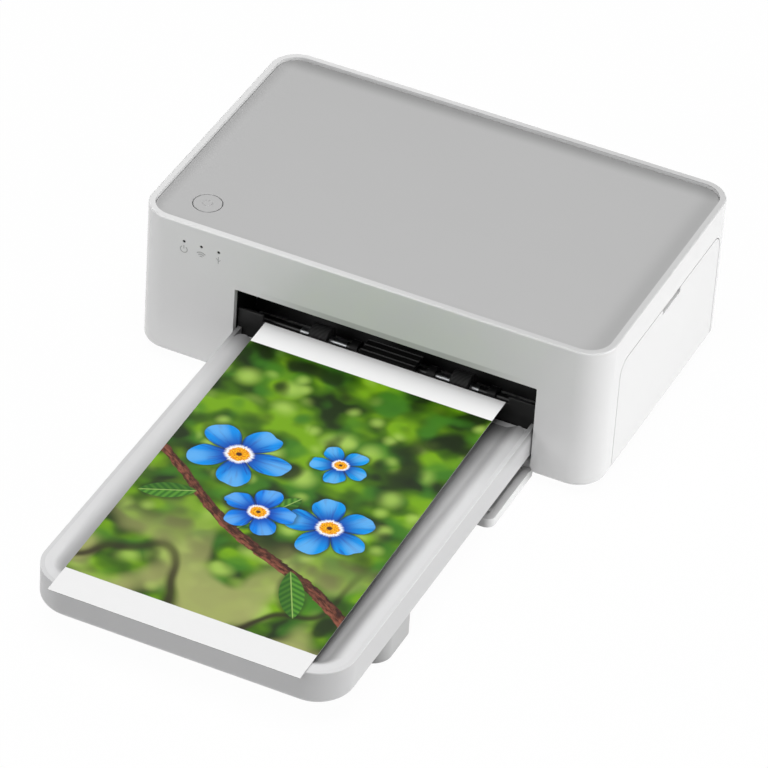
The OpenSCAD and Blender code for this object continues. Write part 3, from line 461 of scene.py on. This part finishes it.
# %% Rubber, board, film and paper
def hatched_rubber(name, colour, pitch):
    """Rubber with slanting ridges, one every pitch."""
    waves_per_scale = 6.2
    finish, pen = new_finish(name)
    ridges = pen.nodes.new("ShaderNodeTexWave")
    ridges.inputs["Scale"].default_value = 1 / pitch / waves_per_scale
    ridges.inputs["Distortion"].default_value = 0
    slant = math.radians(35)
    slanted = pen.mapped(pen.place(), "Rotation", (0, 0, slant))
    pen.put(slanted, ridges.inputs["Vector"])
    light = tuple(c * 2.2 for c in colour)
    pen.surface("Base Color", pen.over(colour, light, ridges.outputs["Fac"]))
    pen.surface("Roughness", 0.75)
    pen.bump(ridges.outputs["Fac"], 0.15 * MM, 0.6)
    return finish


tyre_rubber = hatched_rubber("tyre_rubber", (0.014, 0.014, 0.014), 0.7 * MM)
plain_rubber = moulded_plastic("plain_rubber", (0.02, 0.02, 0.02), 0.8, grain=1500, strength=0.5)
board_green = moulded_plastic("board_green", (0.02, 0.16, 0.07), 0.3, coat=0.4)
ribbon_dye = moulded_plastic("ribbon_dye", (0.22, 0.03, 0.12), 0.15, coat=0.5)
ribbon_yellow = moulded_plastic("ribbon_yellow", (0.62, 0.45, 0.04), 0.15, coat=0.5)
blank_paper = moulded_plastic("blank_paper", (0.86, 0.86, 0.85), 0.35, grain=1200, strength=0.2)
print("finishes", [finish.name for finish in bpy.data.materials])

# %% [markdown]
# ## The picture on the print
# The print shows blue garden blossoms on a twig before a blurred green hedge. A real one is an image
# file, but a drawn one stays sharp at any distance. It is drawn with plain mathematics in millimetres
# on the sheet: u runs to the right from the middle, and v runs away from the front edge. Each motif is
# a mask and a colour, laid over what was drawn before it.

# %% Pen for motifs
class MotifPen(PatternPen):
    """A pen with what the motifs need: scattered discs and turned axes."""

    def discs(self, x, y, scale, shift=0.0):
        """Distance to the nearest of many scattered points: small inside each out-of-focus disc."""
        moved = self.nodes.new("ShaderNodeVectorMath")
        moved.inputs[1].default_value = (shift, shift, 0)
        self.put(self.vector(x, y, shift), moved.inputs[0])
        node = self.nodes.new("ShaderNodeTexVoronoi")
        node.voronoi_dimensions = "2D"
        node.inputs["Scale"].default_value = scale
        node.inputs["Randomness"].default_value = 1.0
        self.put(moved.outputs[0], node.inputs["Vector"])
        return node.outputs["Distance"]

    def turned(self, u, v, middle, angle):
        """Coordinates along and across a direction, from a middle point."""
        du = self.minus(u, middle[0])
        dv = self.minus(v, middle[1])
        along_u, along_v = math.cos(angle), math.sin(angle)
        along = self.plus(self.times(du, along_u), self.times(dv, along_v))
        across = self.minus(self.times(dv, along_u), self.times(du, along_v))
        return along, across


print("motif pen", [name for name in vars(MotifPen) if not name.startswith("_")])

# %% [markdown]
# ## Hedge
# Behind the blossoms stands a hedge, far out of focus. A lens turns its leaves into soft patches and
# its bright gaps into round discs. Noise of low detail gives the patches, and the distance to scattered
# points gives the discs. Towards the front edge the hedge gets paler, with a few dark stems.

# %% Hedge
def draw_discs(pen, below, u, v):
    """Bright gaps in the hedge, in two sizes: a shift, a scale, a reach and a strength each."""
    disc_green = (0.38, 0.57, 0.10)
    for shift, scale, reach, strength in ((41.0, 0.055, 0.40, 0.85), (53.0, 0.085, 0.36, 0.7)):
        glow = pen.times(pen.ramp(pen.discs(u, v, scale, shift), reach, 0.02), strength)
        lit = pen.ramp(pen.noise(u, v, 0.035, 0.0, shift), 0.44, 0.58)
        below = pen.over(below, disc_green, pen.times(glow, lit))
    return below


def draw_hedge(pen, u, v):
    """The background of the picture, from deep shade to sunlit leaves."""
    black_green, leaf_green, sun_green = (0.008, 0.022, 0.001), (0.048, 0.135, 0.001), (0.17, 0.36, 0.006)
    cool_green, hollow_green, pale_green = (0.045, 0.19, 0.012), (0.006, 0.014, 0.001), (0.36, 0.38, 0.13)
    stem_brown = (0.020, 0.013, 0.004)
    patches = pen.noise(u, pen.times(v, 1.2), 0.085, 0.6, 7.0)
    hedge = pen.over(black_green, leaf_green, pen.ramp(patches, 0.30, 0.50))
    hedge = pen.over(hedge, sun_green, pen.ramp(patches, 0.46, 0.66))
    tints = pen.noise(u, v, 0.10, 0.4, 17.0)
    hedge = pen.over(hedge, cool_green, pen.ramp(tints, 0.45, 0.70, 0.0, 0.75))
    hedge = draw_discs(pen, hedge, u, v)
    hollows = pen.noise(u, v, 0.075, 0.5, 31.0)
    hedge = pen.over(hedge, hollow_green, pen.ramp(hollows, 0.54, 0.72, 0.0, 0.9))
    near_front = pen.ramp(v, 84.0, 20.0)
    pale = pen.times(near_front, pen.ramp(pen.noise(u, v, 0.055, 0.3, 11.0), 0.42, 0.62))
    hedge = pen.over(hedge, pale_green, pen.times(pale, 0.9))
    stems = pen.math("ABSOLUTE", pen.minus(pen.noise(u, v, 0.028, 0.5, 23.0), 0.5))
    dark_stems = pen.times(pen.ramp(stems, 0.050, 0.004), pen.times(near_front, 0.92))
    return pen.over(hedge, stem_brown, dark_stems)


print("motif: hedge")

# %% [markdown]
# ## Leaf
# A leaf is widest in its middle and pointed at both ends. Its half width follows share times one minus
# share, a bow that needs no drawn outline. Slanting sine waves give the side veins, and a pale line
# along the middle is the main vein. A soft dark halo sets the leaf off from the hedge.

# %% Leaf
def draw_leaf(pen, below, u, v, foot, angle, length, width):
    """One leaf from its foot along an angle; length and width are in millimetres."""
    deep, bright, lower_half = (0.028, 0.13, 0.012), (0.10, 0.30, 0.03), (0.014, 0.07, 0.006)
    main_vein, halo = (0.30, 0.46, 0.12), (0.008, 0.02, 0.002)
    along, across = pen.turned(u, v, foot, angle)
    share = pen.math("DIVIDE", along, length)
    bow = pen.math("MAXIMUM", pen.times(share, pen.minus(1.0, share)), 0.0001)
    half = pen.times(pen.math("POWER", bow, 0.8), 1.5 * width)
    aside = pen.math("ABSOLUTE", across)
    veins = pen.math("SINE", pen.minus(pen.times(along, 2.2), pen.times(aside, 1.8)))
    body = pen.over(deep, bright, pen.ramp(veins, -1.4, 1.6))
    body = pen.over(body, lower_half, pen.ramp(across, 0.2, -0.4, 0.0, 0.55))
    body = pen.over(body, main_vein, pen.ramp(aside, 0.32, 0.10))
    inside = pen.minus(half, aside)
    along_leaf = pen.times(pen.ramp(share, -0.05, 0.08), pen.ramp(share, 1.05, 0.92))
    shade = pen.times(pen.ramp(inside, -2.2, 0.8, 0.0, 0.6), along_leaf)
    mask = pen.times(pen.ramp(inside, 0.0, 0.5), along_leaf)
    return pen.over(pen.over(below, halo, shade), body, mask)


print("motif: leaf")

# %% [markdown]
# ## Twig
# The twig crosses the sheet in a slow sway, which a sine of the distance along it gives. Its bark is a
# noise that is squeezed along the twig, so that it runs in cracks. The lower side is darker, and that
# alone makes the flat band look round.

# %% Twig
def draw_twig(pen, below, u, v, middle, angle, thickness):
    """A twig through a middle point, a little thinner at its far end."""
    crack_brown, bark_red, lower_side = (0.045, 0.012, 0.006), (0.26, 0.085, 0.05), (0.012, 0.004, 0.003)
    along, across = pen.turned(u, v, middle, angle)
    sway = pen.times(pen.math("SINE", pen.times(along, 0.06)), 2.6)
    across = pen.minus(across, sway)
    bark = pen.noise(pen.times(along, 0.35), across, 0.9, 3.0, 5.0)
    rough_half = pen.ramp(bark, 0.3, 0.7, thickness * 0.42, thickness * 0.55)
    half = pen.plus(pen.times(along, -0.006), rough_half)
    mask = pen.ramp(pen.minus(half, pen.math("ABSOLUTE", across)), 0.0, 0.35)
    body = pen.over(crack_brown, bark_red, pen.ramp(bark, 0.35, 0.68))
    body = pen.over(body, lower_side, pen.ramp(across, 0.3, -thickness * 0.55, 0.0, 0.75))
    return pen.over(below, body, mask)


print("motif: twig")

# %% [markdown]
# ## Blossom
# A blossom repeats around its middle, so it is drawn in polar coordinates: the cosine of the angle
# makes the petals, and a noise ruffles their tips. Fine veins run outwards. In the middle lie a white
# ring and a grainy yellow eye with a dark dot.

# %% Petals
def petal_colours(pen, share, lobe, veins, hue):
    """Deep blue at the foot of a petal, clear blue at its tip, dark between two petals."""
    deep, clear = (0.004, 0.035 + hue * 0.03, 0.36), (0.004, 0.275 + hue, 0.80)
    ridge_blue, gap_blue = (0.22, 0.55, 0.90), (0.002, 0.012, 0.13)
    body = pen.over(deep, clear, pen.ramp(share, 0.12, 0.78))
    body = pen.over(body, deep, pen.ramp(veins, 0.50, 0.70, 0.0, 0.55))
    ridge = pen.times(pen.ramp(lobe, 0.72, 1.0, 0.0, 0.5), pen.ramp(share, 0.3, 0.8))
    body = pen.over(body, ridge_blue, ridge)
    return pen.over(body, gap_blue, pen.ramp(lobe, 0.42, 0.05, 0.0, 0.85))


def add_eye(pen, petals, u, v, share, veins):
    """A white ring and a grainy yellow eye, over the petals."""
    orange, yellow, dot = (0.75, 0.20, 0.005), (0.95, 0.52, 0.01), (0.06, 0.02, 0.01)
    ring_white = (0.90, 0.93, 0.98)
    eye = pen.over(orange, yellow, pen.ramp(pen.noise(u, v, 1.6, 2.0), 0.4, 0.6))
    eye = pen.over(eye, dot, pen.ramp(share, 0.07, 0.04))
    ring = pen.plus(share, pen.times(pen.minus(veins, 0.5), 0.10))
    return pen.over(pen.over(petals, ring_white, pen.ramp(ring, 0.30, 0.22)), eye, pen.ramp(ring, 0.22, 0.18))


print("petals and eye")

# %% [markdown]
# The outline of the blossom comes next. Where a place lies inside it, the petals and the eye cover what
# was drawn before, and a soft dark halo just outside it lifts the blossom off the hedge.

# %% Blossom
def draw_blossom(pen, below, u, v, middle, size, turn, petals=5, hue=0.0):
    """One blossom; size is its reach in millimetres, and hue shifts its blue towards green."""
    halo = (0.004, 0.012, 0.004)
    du = pen.minus(u, middle[0])
    dv = pen.times(pen.minus(v, middle[1]), 1.12)
    reach = pen.math("SQRT", pen.plus(pen.times(du, du), pen.times(dv, dv)))
    angle = pen.plus(pen.math("ARCTAN2", dv, du), turn)
    lobe = pen.math("ABSOLUTE", pen.math("COSINE", pen.times(angle, petals / 2)))
    ruffle = pen.noise(pen.times(angle, 1.6), turn, 1.0, 1.0)
    tip = pen.times(pen.math("POWER", pen.math("MAXIMUM", lobe, 0.001), 0.42), 0.74)
    edge = pen.times(pen.plus(tip, pen.times(ruffle, 0.44)), size)
    inside = pen.minus(edge, reach)
    share = pen.math("DIVIDE", reach, size)
    veins = pen.noise(pen.times(angle, 9.0), pen.times(reach, 0.09), 1.0, 2.0, turn)
    body = add_eye(pen, petal_colours(pen, share, lobe, veins, hue), u, v, share, veins)
    shade = pen.ramp(inside, -0.16 * size, 0.04 * size, 0.0, 0.65)
    return pen.over(pen.over(below, halo, shade), body, pen.ramp(inside, 0.0, 0.45))


print("motif: blossom")

# %% [markdown]
# ## Composition
# The hedge lies at the back, the twig crosses it, and leaves and blossoms sit on the twig. The order of
# the calls is the order of the layers. All four blossoms come from one function, and their size, turn
# and hue differ, so that they don't look stamped.

# %% Draw the picture
sheet_low, sheet_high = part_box("print_sheet")
photo_paper, pen = new_finish("photo_paper", MotifPen)
axes = pen.axes()
u = pen.times(pen.minus(axes["X"], (sheet_low.x + sheet_high.x) / 2), 1000.0)
v = pen.times(pen.minus(axes["Y"], sheet_low.y), 1000.0)

picture = draw_hedge(pen, u, v)
picture = draw_twig(pen, picture, u, v, (14, 52), math.radians(151), 5.2)
leaves = [((-6, 62), 62, 30, 11), ((22, 50), -62, 26, 10), ((-28, 74), 205, 22, 9)]
for foot, degrees, length, width in leaves:
    picture = draw_leaf(pen, picture, u, v, foot, math.radians(degrees), length, width)
blossoms = [((24, 78), 19.0, 0.5, 0.02), ((-24, 100), 21.0, 1.3, 0.0),
            ((-3, 74), 15.5, 2.2, -0.05), ((12, 112), 12.5, 0.2, 0.05)]
for middle, size, turn, hue in blossoms:
    picture = draw_blossom(pen, picture, u, v, middle, size, turn, hue=hue)
print("picture drawn with", len(pen.nodes), "nodes")

# %% [markdown]
# ## Photo paper
# The sheet carries the picture on its top face only, between two blank tear-off tabs. Its underside is
# bare, and its cut edges are painted grey, as the shade of faces that look away from the lamps. The blank
# paper is painted a little lighter towards the rear tab, which lies in the body's shade. The sheet is one
# thin solid, so the finish tells top, underside and edges apart by the normal's upward part.

# %% Put the picture on the sheet
picture_front, picture_rear = 13.7, 162.2
in_front = pen.ramp(v, picture_front - 0.1, picture_front + 0.1)
in_rear = pen.ramp(v, picture_rear + 0.1, picture_rear - 0.1)
# Painted light: the blank paper gets lighter towards the rear tab, which lies in the body's shade.
bare = pen.over((0.83, 0.83, 0.83), (0.88, 0.88, 0.88), pen.ramp(v, 120.0, 165.0))
printed = pen.over(bare, picture, pen.times(in_front, in_rear))

upward = pen.axes("Normal")["Z"]
top_face = pen.ramp(upward, 0.5, 0.9)
flat_face = pen.ramp(pen.math("ABSOLUTE", upward), 0.5, 0.9)
# Painted shade: the cut edges are grey.
cut_edge = pen.over((0.32, 0.32, 0.32), bare, flat_face)
pen.surface("Base Color", pen.over(cut_edge, printed, top_face))
fibres = pen.noise(u, v, 0.9, 3.0, 2.0)
pen.surface("Roughness", pen.ramp(fibres, 0.3, 0.7, 0.30, 0.34))
pen.surface("Specular IOR Level", 0.2)
print("sheet", [round(side, 4) for side in sheet_high - sheet_low])

# %% [markdown]
# ## Which node wears which finish
# A node whose solid is already right keeps its mesh and only gets a finish. The list reads by finish,
# as a workshop would sort the pieces for the paint line, and the last line prints any node left bare.

# %% Dress the exact nodes
finish_of = {
    shell_white: ["outer_shell", "side_door", "front_cover"],
    panel_grey: ["top_panel", "power_button"],
    cassette_white: ["cassette_base", "cassette_lid"],
    foot_white: ["cassette_feet"],
    liner_black: ["slot_liner"],
    guide_black: ["exit_guide"],
    inner_black: ["entry_ramp", "paper_guide", "pickup_collars", "supply_brake",
                  "board_chips", "power_inlet", "fan_frame", "fan_rotor"],
    chassis_dark: ["base_plate", "cartridge_frame"],
    lens_dark: ["indicator_lenses"],
    gear_white: ["capstan_gear", "takeup_gear", "supply_spool", "takeup_spool", "board_connectors"],
    frame_steel: ["left_frame", "right_frame", "frame_tie_bars", "feed_motor", "ribbon_motor",
                  "head_arms", "lift_plate", "lift_spring"],
    sleeved_steel: ["pickup_shaft"],
    shaft_steel: ["capstan_roller", "platen_shaft", "head_pivot", "base_screws"],
    head_alloy: ["thermal_head", "heat_sink"],
    pinion_brass: ["feed_pinion", "ribbon_pinion"],
    tyre_rubber: ["pickup_tyres"],
    plain_rubber: ["rubber_feet", "pinch_roller", "platen_rubber"],
    board_green: ["main_board", "switch_board"],
    ribbon_dye: ["ribbon_film", "takeup_roll"],
    ribbon_yellow: ["supply_roll"],
    blank_paper: ["paper_stack"],
    photo_paper: ["print_sheet"],
}
for finish, node_names in finish_of.items():
    for node_name in node_names:
        mesh = frame["nodes"][node_name].data
        mesh.materials.clear()
        mesh.materials.append(finish)
undressed = set(frame["nodes"]) - {n for names in finish_of.values() for n in names}
print("undressed", sorted(undressed))

# %% [markdown]
# ## Pieces that stand for nodes
# An exact node's own mesh is never changed. Where a piece should look finer, a new object takes its
# place: the node it stands for is hidden, and the piece rides on a body when the printer moves.

# %% Add a piece
def body_of_node(node_name):
    bodies = frame["record"]["behaviour"]["bodies"]
    return next(body for body, members in bodies.items() if node_name in members)


def mesh_from(shape, name):
    """The finished bmesh as a mesh; its faces are turned outwards first."""
    bmesh.ops.recalc_face_normals(shape, faces=shape.faces)
    mesh = bpy.data.meshes.new(name)
    shape.to_mesh(mesh)
    shape.free()
    return mesh


def add_piece(name, mesh, finish, body, *stands_for):
    piece = bpy.data.objects.new(name, mesh)
    bpy.context.scene.collection.objects.link(piece)
    mesh.materials.clear()
    mesh.materials.append(finish)
    if stands_for:
        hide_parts(*stands_for)
    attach(piece, body)
    return piece


# %% [markdown]
# ## Soft edges
# A moulded edge is never knife sharp: the tool leaves a small round, and that round catches the light as
# a thin bright line. The exact mesh is copied, its split corners are welded, and flat areas are cleared
# of their triangles. Then a Bevel modifier rounds every crisp edge. It is kept as a modifier, so that
# its width can still be changed. Weighted normals keep the large faces flat beside the rounds.

# %% Round the moulded pieces
def welded(node_name):
    shape = bmesh.new()
    shape.from_mesh(frame["nodes"][node_name].data)
    bmesh.ops.remove_doubles(shape, verts=shape.verts, dist=0.002 * MM)
    bmesh.ops.dissolve_limit(shape, angle_limit=math.radians(0.5), verts=shape.verts, edges=shape.edges)
    bmesh.ops.recalc_face_normals(shape, faces=shape.faces)
    return shape


def add_rounding(piece, width, segments):
    rounding = piece.modifiers.new("rounding", "BEVEL")
    rounding.limit_method = "WEIGHT"
    rounding.width = width
    rounding.segments = segments
    rounding.harden_normals = True
    evened = piece.modifiers.new("evened", "WEIGHTED_NORMAL")
    evened.mode = "FACE_AREA"
    evened.weight = 100
    evened.keep_sharp = True


def soften(node_name, width, segments=3, keep_sharp=lambda edge: False, share_of=lambda edge: 1.0):
    """Rounds the crisp edges of a node: by a share of the width each, or not at all if kept sharp."""
    shape = welded(node_name)
    crisp_angle = math.radians(32)
    weights = shape.edges.layers.float.new("bevel_weight_edge")
    crisp = [e for e in shape.edges if len(e.link_faces) == 2 and e.calc_face_angle() > crisp_angle]
    for edge in crisp:
        if keep_sharp(edge):
            edge.smooth = False
        else:
            edge[weights] = share_of(edge)
    for face in shape.faces:
        face.smooth = True
    mesh = mesh_from(shape, node_name + "_soft")
    finish = frame["nodes"][node_name].data.materials[0]
    piece = add_piece(node_name + "_soft", mesh, finish, body_of_node(node_name), node_name)
    add_rounding(piece, width, segments)
    return len(crisp)


# Widths in millimetres.
soft_edges = {
    "outer_shell": 0.12, "top_panel": 0.12, "power_button": 0.12, "side_door": 0.08, "front_cover": 0.5,
    "cassette_feet": 0.6, "slot_liner": 0.2, "exit_guide": 0.25, "rubber_feet": 0.5,
    "power_inlet": 0.2, "fan_frame": 0.2, "cartridge_frame": 0.25, "base_plate": 0.25, "paper_stack": 0.1,
}
for node_name, width in soft_edges.items():
    print(node_name, "crisp edges", soften(node_name, width * MM))

# %% [markdown]
# ## Cassette body
# The cassette's wall is the one place where a bevel could do harm: its inner upper edge lies against
# the lid, and a round there would open a dark groove. Along the sides that edge stays sharp. The lower
# outer edge gets the full round, because the real one tucks in at its foot, and all other edges get
# about a sixth of it.

# %% Round the cassette
cassette_low, cassette_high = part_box("cassette_base")
corner_zone = 16 * MM


def edge_middle(edge):
    return (edge.verts[0].co + edge.verts[1].co) / 2


def on_outline(place, within):
    """Whether a place lies on the left, right or front face of the cassette."""
    return (place.x < cassette_low.x + within or place.x > cassette_high.x - within
            or place.y < cassette_low.y + within)


def on_round_corner(place):
    """Whether a place near the front lies about a radius or more from the nearer corner's centre."""
    radius = 15 * MM
    at_left = place.x < (cassette_low.x + cassette_high.x) / 2
    centre_x = cassette_low.x + radius if at_left else cassette_high.x - radius
    reach = math.hypot(place.x - centre_x, place.y - (cassette_low.y + radius))
    return place.y < cassette_low.y + corner_zone and reach > radius - 0.5 * MM


def inner_rim(edge):
    """The upper inner edge of the cassette's wall, where the lid lies against it."""
    middle = edge_middle(edge)
    near_top = middle.z > cassette_high.z - 0.1 * MM
    return near_top and not on_outline(middle, 0.4 * MM) and not on_round_corner(middle)


def rounding_share(edge):
    """The lower outer edge of the cassette is rounded far more than its other edges."""
    middle = edge_middle(edge)
    at_foot = middle.z < cassette_low.z + 0.1 * MM
    return 1.0 if at_foot and (on_outline(middle, 0.1 * MM) or on_round_corner(middle)) else 0.16


foot_round = 2.5 * MM
print("cassette_base crisp edges", soften("cassette_base", foot_round, segments=4, keep_sharp=inner_rim,
                                          share_of=rounding_share))

# %% [markdown]
# ## Tray of the cassette
# The cassette's lid is the output tray. Its flanks run down from the rim in a soft S to a flat floor,
# and they end in round corners a little before the printer. A sculpted grid would need many faces for
# that. Here the tray starts as one flat outline with two round corners.

# %% Outline of the tray
lid_low, lid_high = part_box("cassette_lid")
seam = 0.03 * MM
left, right, front = lid_low.x - seam, lid_high.x + seam, lid_low.y - seam
tray_rim = 25.0 * MM
tray_floor = 22.2 * MM
tray_back = front_y - 0.2 * MM
spare_length = 30 * MM
corner_radius = 13.38 * MM

shape = bmesh.new()
outline = [shape.verts.new((x, y, tray_rim)) for x, y in
           ((left, front), (right, front), (right, front_y + spare_length), (left, front_y + spare_length))]
shape.faces.new(outline)
bmesh.ops.bevel(shape, geom=outline[:2], offset=corner_radius, offset_type="OFFSET", affect="VERTICES",
                segments=14, profile=0.5, material=-1)
print("outline points", len(shape.verts))

# %% [markdown]
# ## Flanks
# Rings of the outline are set inwards one after the other, and each is lowered along an S curve. The
# inset operator keeps the rings evenly apart round the corners, which a plain scale wouldn't do.

# %% Flowing flanks
rim_width = 2.6 * MM
flank_width = 6.6 * MM
rim_rings, flank_rings = 5, 14


def ring_steps():
    """Steps of the rings: below 0 on the flat rim, then from 0 to 1 down the flank."""
    return ([k / rim_rings - 1 for k in range(1, rim_rings)]
            + [k / flank_rings for k in range(flank_rings + 1)])


floor_face = max(shape.faces, key=lambda face: face.calc_area())
set_in = 0.0
for step in ring_steps():
    wanted_in = rim_width + step * (rim_width if step < 0 else flank_width)
    s_curve = max(step, 0.0) ** 2 * (3 - 2 * step)
    bmesh.ops.inset_region(shape, faces=[floor_face], thickness=wanted_in - set_in, depth=0,
                           use_even_offset=True, use_boundary=True)
    for vert in floor_face.verts:
        vert.co.z = tray_rim - (tray_rim - tray_floor) * s_curve
    set_in = wanted_in
print("rings", len(ring_steps()))

# %% [markdown]
# ## Back end and walls of the tray
# The outline was made too long on purpose: a plane cuts it open just before the slot, which gives a
# clean profile of the flanks there. The two back corners are then drawn round, the border is pulled
# down for the walls, and a last face closes the underside.

# %% Close the tray
step_top = tray_floor - 0.5 * MM
wall_foot = step_top - 1.0 * MM
back_corner = 4 * MM
everything = shape.verts[:] + shape.edges[:] + shape.faces[:]
bmesh.ops.bisect_plane(shape, geom=everything, plane_co=(0, tray_back, 0), plane_no=(0, 1, 0),
                       clear_outer=True)
for vert in shape.verts:
    aside = max(0.0, min(vert.co.x - left, right - vert.co.x))
    if abs(vert.co.y - tray_back) < 0.01 * MM and aside < back_corner:
        vert.co.y = tray_back - back_corner + math.sqrt(back_corner ** 2 - (back_corner - aside) ** 2)

border = [edge for edge in shape.edges if edge.is_boundary]
for item in bmesh.ops.extrude_edge_only(shape, edges=border)["geom"]:
    if isinstance(item, bmesh.types.BMVert):
        item.co.z = wall_foot
bmesh.ops.edgeloop_fill(shape, edges=[edge for edge in shape.edges if edge.is_boundary])
bmesh.ops.recalc_face_normals(shape, faces=shape.faces)
for face in shape.faces:
    face.smooth = True
for edge in shape.edges:
    if len(edge.link_faces) == 2:
        edge.smooth = edge.calc_face_angle() < math.radians(35)
tray_mesh = mesh_from(shape, "tray")
add_piece("tray", tray_mesh, tray_white, "cassette", "cassette_lid")
print("tray faces", len(tray_mesh.polygons))

# %% [markdown]
# ## Step behind the tray
# A lower step carries the sheet from the slot to the tray's floor. It is a plain plate with broken
# edges, so a cube that is stretched to its box and bevelled is enough.

# %% Tray step
step_foot = 20.75 * MM
under_tray = 6 * MM
step_low = (left, tray_back - under_tray, step_foot)
step_high = (right, lid_high.y, step_top)
step_shape = bmesh.new()
bmesh.ops.create_cube(step_shape, size=1)
for vert in step_shape.verts:
    vert.co = Vector(step_low[k] if vert.co[k] < 0 else step_high[k] for k in range(3))
bmesh.ops.bevel(step_shape, geom=step_shape.edges[:], offset=0.15 * MM, segments=2, profile=0.5,
                affect="EDGES", material=-1)
step_mesh = mesh_from(step_shape, "tray_step")
add_piece("tray_step", step_mesh, cassette_white, "cassette")
print("step faces", len(step_mesh.polygons))

# %% [markdown]
# ## Marks on the front
# Under each indicator sits a small grey mark, pad printed on the real case: a power sign, radio waves
# and a small forked sign. A picture of them would blur from near, so each is a real film, a few
# hundredths of a millimetre thick. Strips and arcs are drawn as outlines and pulled out of the face.

# %% Film and its outlines
film_out, film_depth = 0.02 * MM, 0.03 * MM


def film_piece(name, outlines, finish, body):
    """Thin film on the front face; each outline is a list of (x, z) in millimetres."""
    film = bmesh.new()
    for outline in outlines:
        face = film.faces.new([film.verts.new((x * MM, front_y - film_out, z * MM)) for x, z in outline])
        for item in bmesh.ops.extrude_face_region(film, geom=[face])["geom"]:
            if isinstance(item, bmesh.types.BMVert):
                item.co.y += film_depth
    add_piece(name, mesh_from(film, name), finish, body)


def arc(middle, radius, angles):
    return [(middle[0] + radius * math.cos(a), middle[1] + radius * math.sin(a)) for a in angles]


def arc_strip(middle, radius, width, start, end, steps=16):
    """Outline of a curved strip, in degrees against the clock from +x."""
    angles = [math.radians(start + (end - start) * k / steps) for k in range(steps + 1)]
    return arc(middle, radius + width / 2, angles) + arc(middle, radius - width / 2, angles[::-1])


def bar(x0, z0, x1, z1, width):
    """Outline of a straight strip from one point to the other."""
    along = Vector((x1 - x0, z1 - z0)).normalized() * width / 2
    side = (-along.y, along.x)
    return [(x0 + side[0], z0 + side[1]), (x0 - side[0], z0 - side[1]),
            (x1 - side[0], z1 - side[1]), (x1 + side[0], z1 + side[1])]


print("outline of a wave", len(arc_strip((0, 0), 1, 0.5, 48, 132, 10)), "points")

# %% [markdown]
# The marks take their places from the indicator lenses, so that each hangs straight below its lens. All
# lengths here are in millimetres.

# %% Pad-printed marks
lens_low, lens_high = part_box("indicator_lenses")
lens_radius = 0.6
below_lens = 3.6
power_stroke, wave_stroke, fork_stroke, prong_stroke = 0.42, 0.5, 0.3, 0.28
wave_radii = (0.85, 1.75, 2.65)
power_x, fork_x = lens_low.x / MM + lens_radius, lens_high.x / MM - lens_radius
waves_x = (power_x + fork_x) / 2
mark_z = (lens_low.z + lens_high.z) / 2 / MM - below_lens

ring = arc_strip((power_x, mark_z), 1.45, power_stroke, 125, 415)
stick = bar(power_x, mark_z + 0.3, power_x, mark_z + 1.8, power_stroke)
film_piece("mark_power", [ring, stick], icon_grey, "printer")

wave_foot = (waves_x, mark_z - 1.6)
waves = [arc_strip(wave_foot, radius, wave_stroke, 48, 132, 10) for radius in wave_radii]
film_piece("mark_waves", waves, icon_grey, "printer")

handle = bar(fork_x, mark_z - 1.6, fork_x, mark_z + 1.6, fork_stroke)
left_prong = bar(fork_x, mark_z - 0.2, fork_x - 0.9, mark_z + 0.8, prong_stroke)
right_prong = bar(fork_x, mark_z - 0.7, fork_x + 0.9, mark_z + 0.3, prong_stroke)
film_piece("mark_fork", [handle, left_prong, right_prong], icon_grey, "printer")
print("marks at", [round(x, 2) for x in (power_x, waves_x, fork_x)], "height", round(mark_z, 2))

# %% [markdown]
# ## Floor
# A plain pale floor carries a soft shadow. A white floor in this soft light would render grey, so for
# the camera and for mirror rays it glows almost pure white, and a small share of the shadow is kept.

# %% Floor
shape = bmesh.new()
bmesh.ops.create_grid(shape, x_segments=1, y_segments=1, size=6)
floor_mesh = bpy.data.meshes.new("floor")
shape.to_mesh(floor_mesh)
shape.free()
floor = bpy.data.objects.new("floor", floor_mesh)
bpy.context.scene.collection.objects.link(floor)

floor_white, floor_pen = new_finish("floor_white")
floor_pen.surface("Base Color", (0.82, 0.82, 0.82))
floor_pen.surface("Roughness", 0.9)
glow = floor_pen.nodes.new("ShaderNodeEmission")
glow.inputs["Strength"].default_value = 1.0
white_share = backdrop_share(floor_pen, 0.975)
both = floor_pen.mixed_shader(white_share, floor_pen.shader.outputs[0], glow.outputs[0])
floor_pen.put(both, floor_pen.nodes["Material Output"].inputs["Surface"])
floor_mesh.materials.append(floor_white)
print("floor", [round(side, 1) for side in floor.dimensions])

# %% [markdown]
# ## Sizes
# A dressed part has to fill the same space as the exact one.
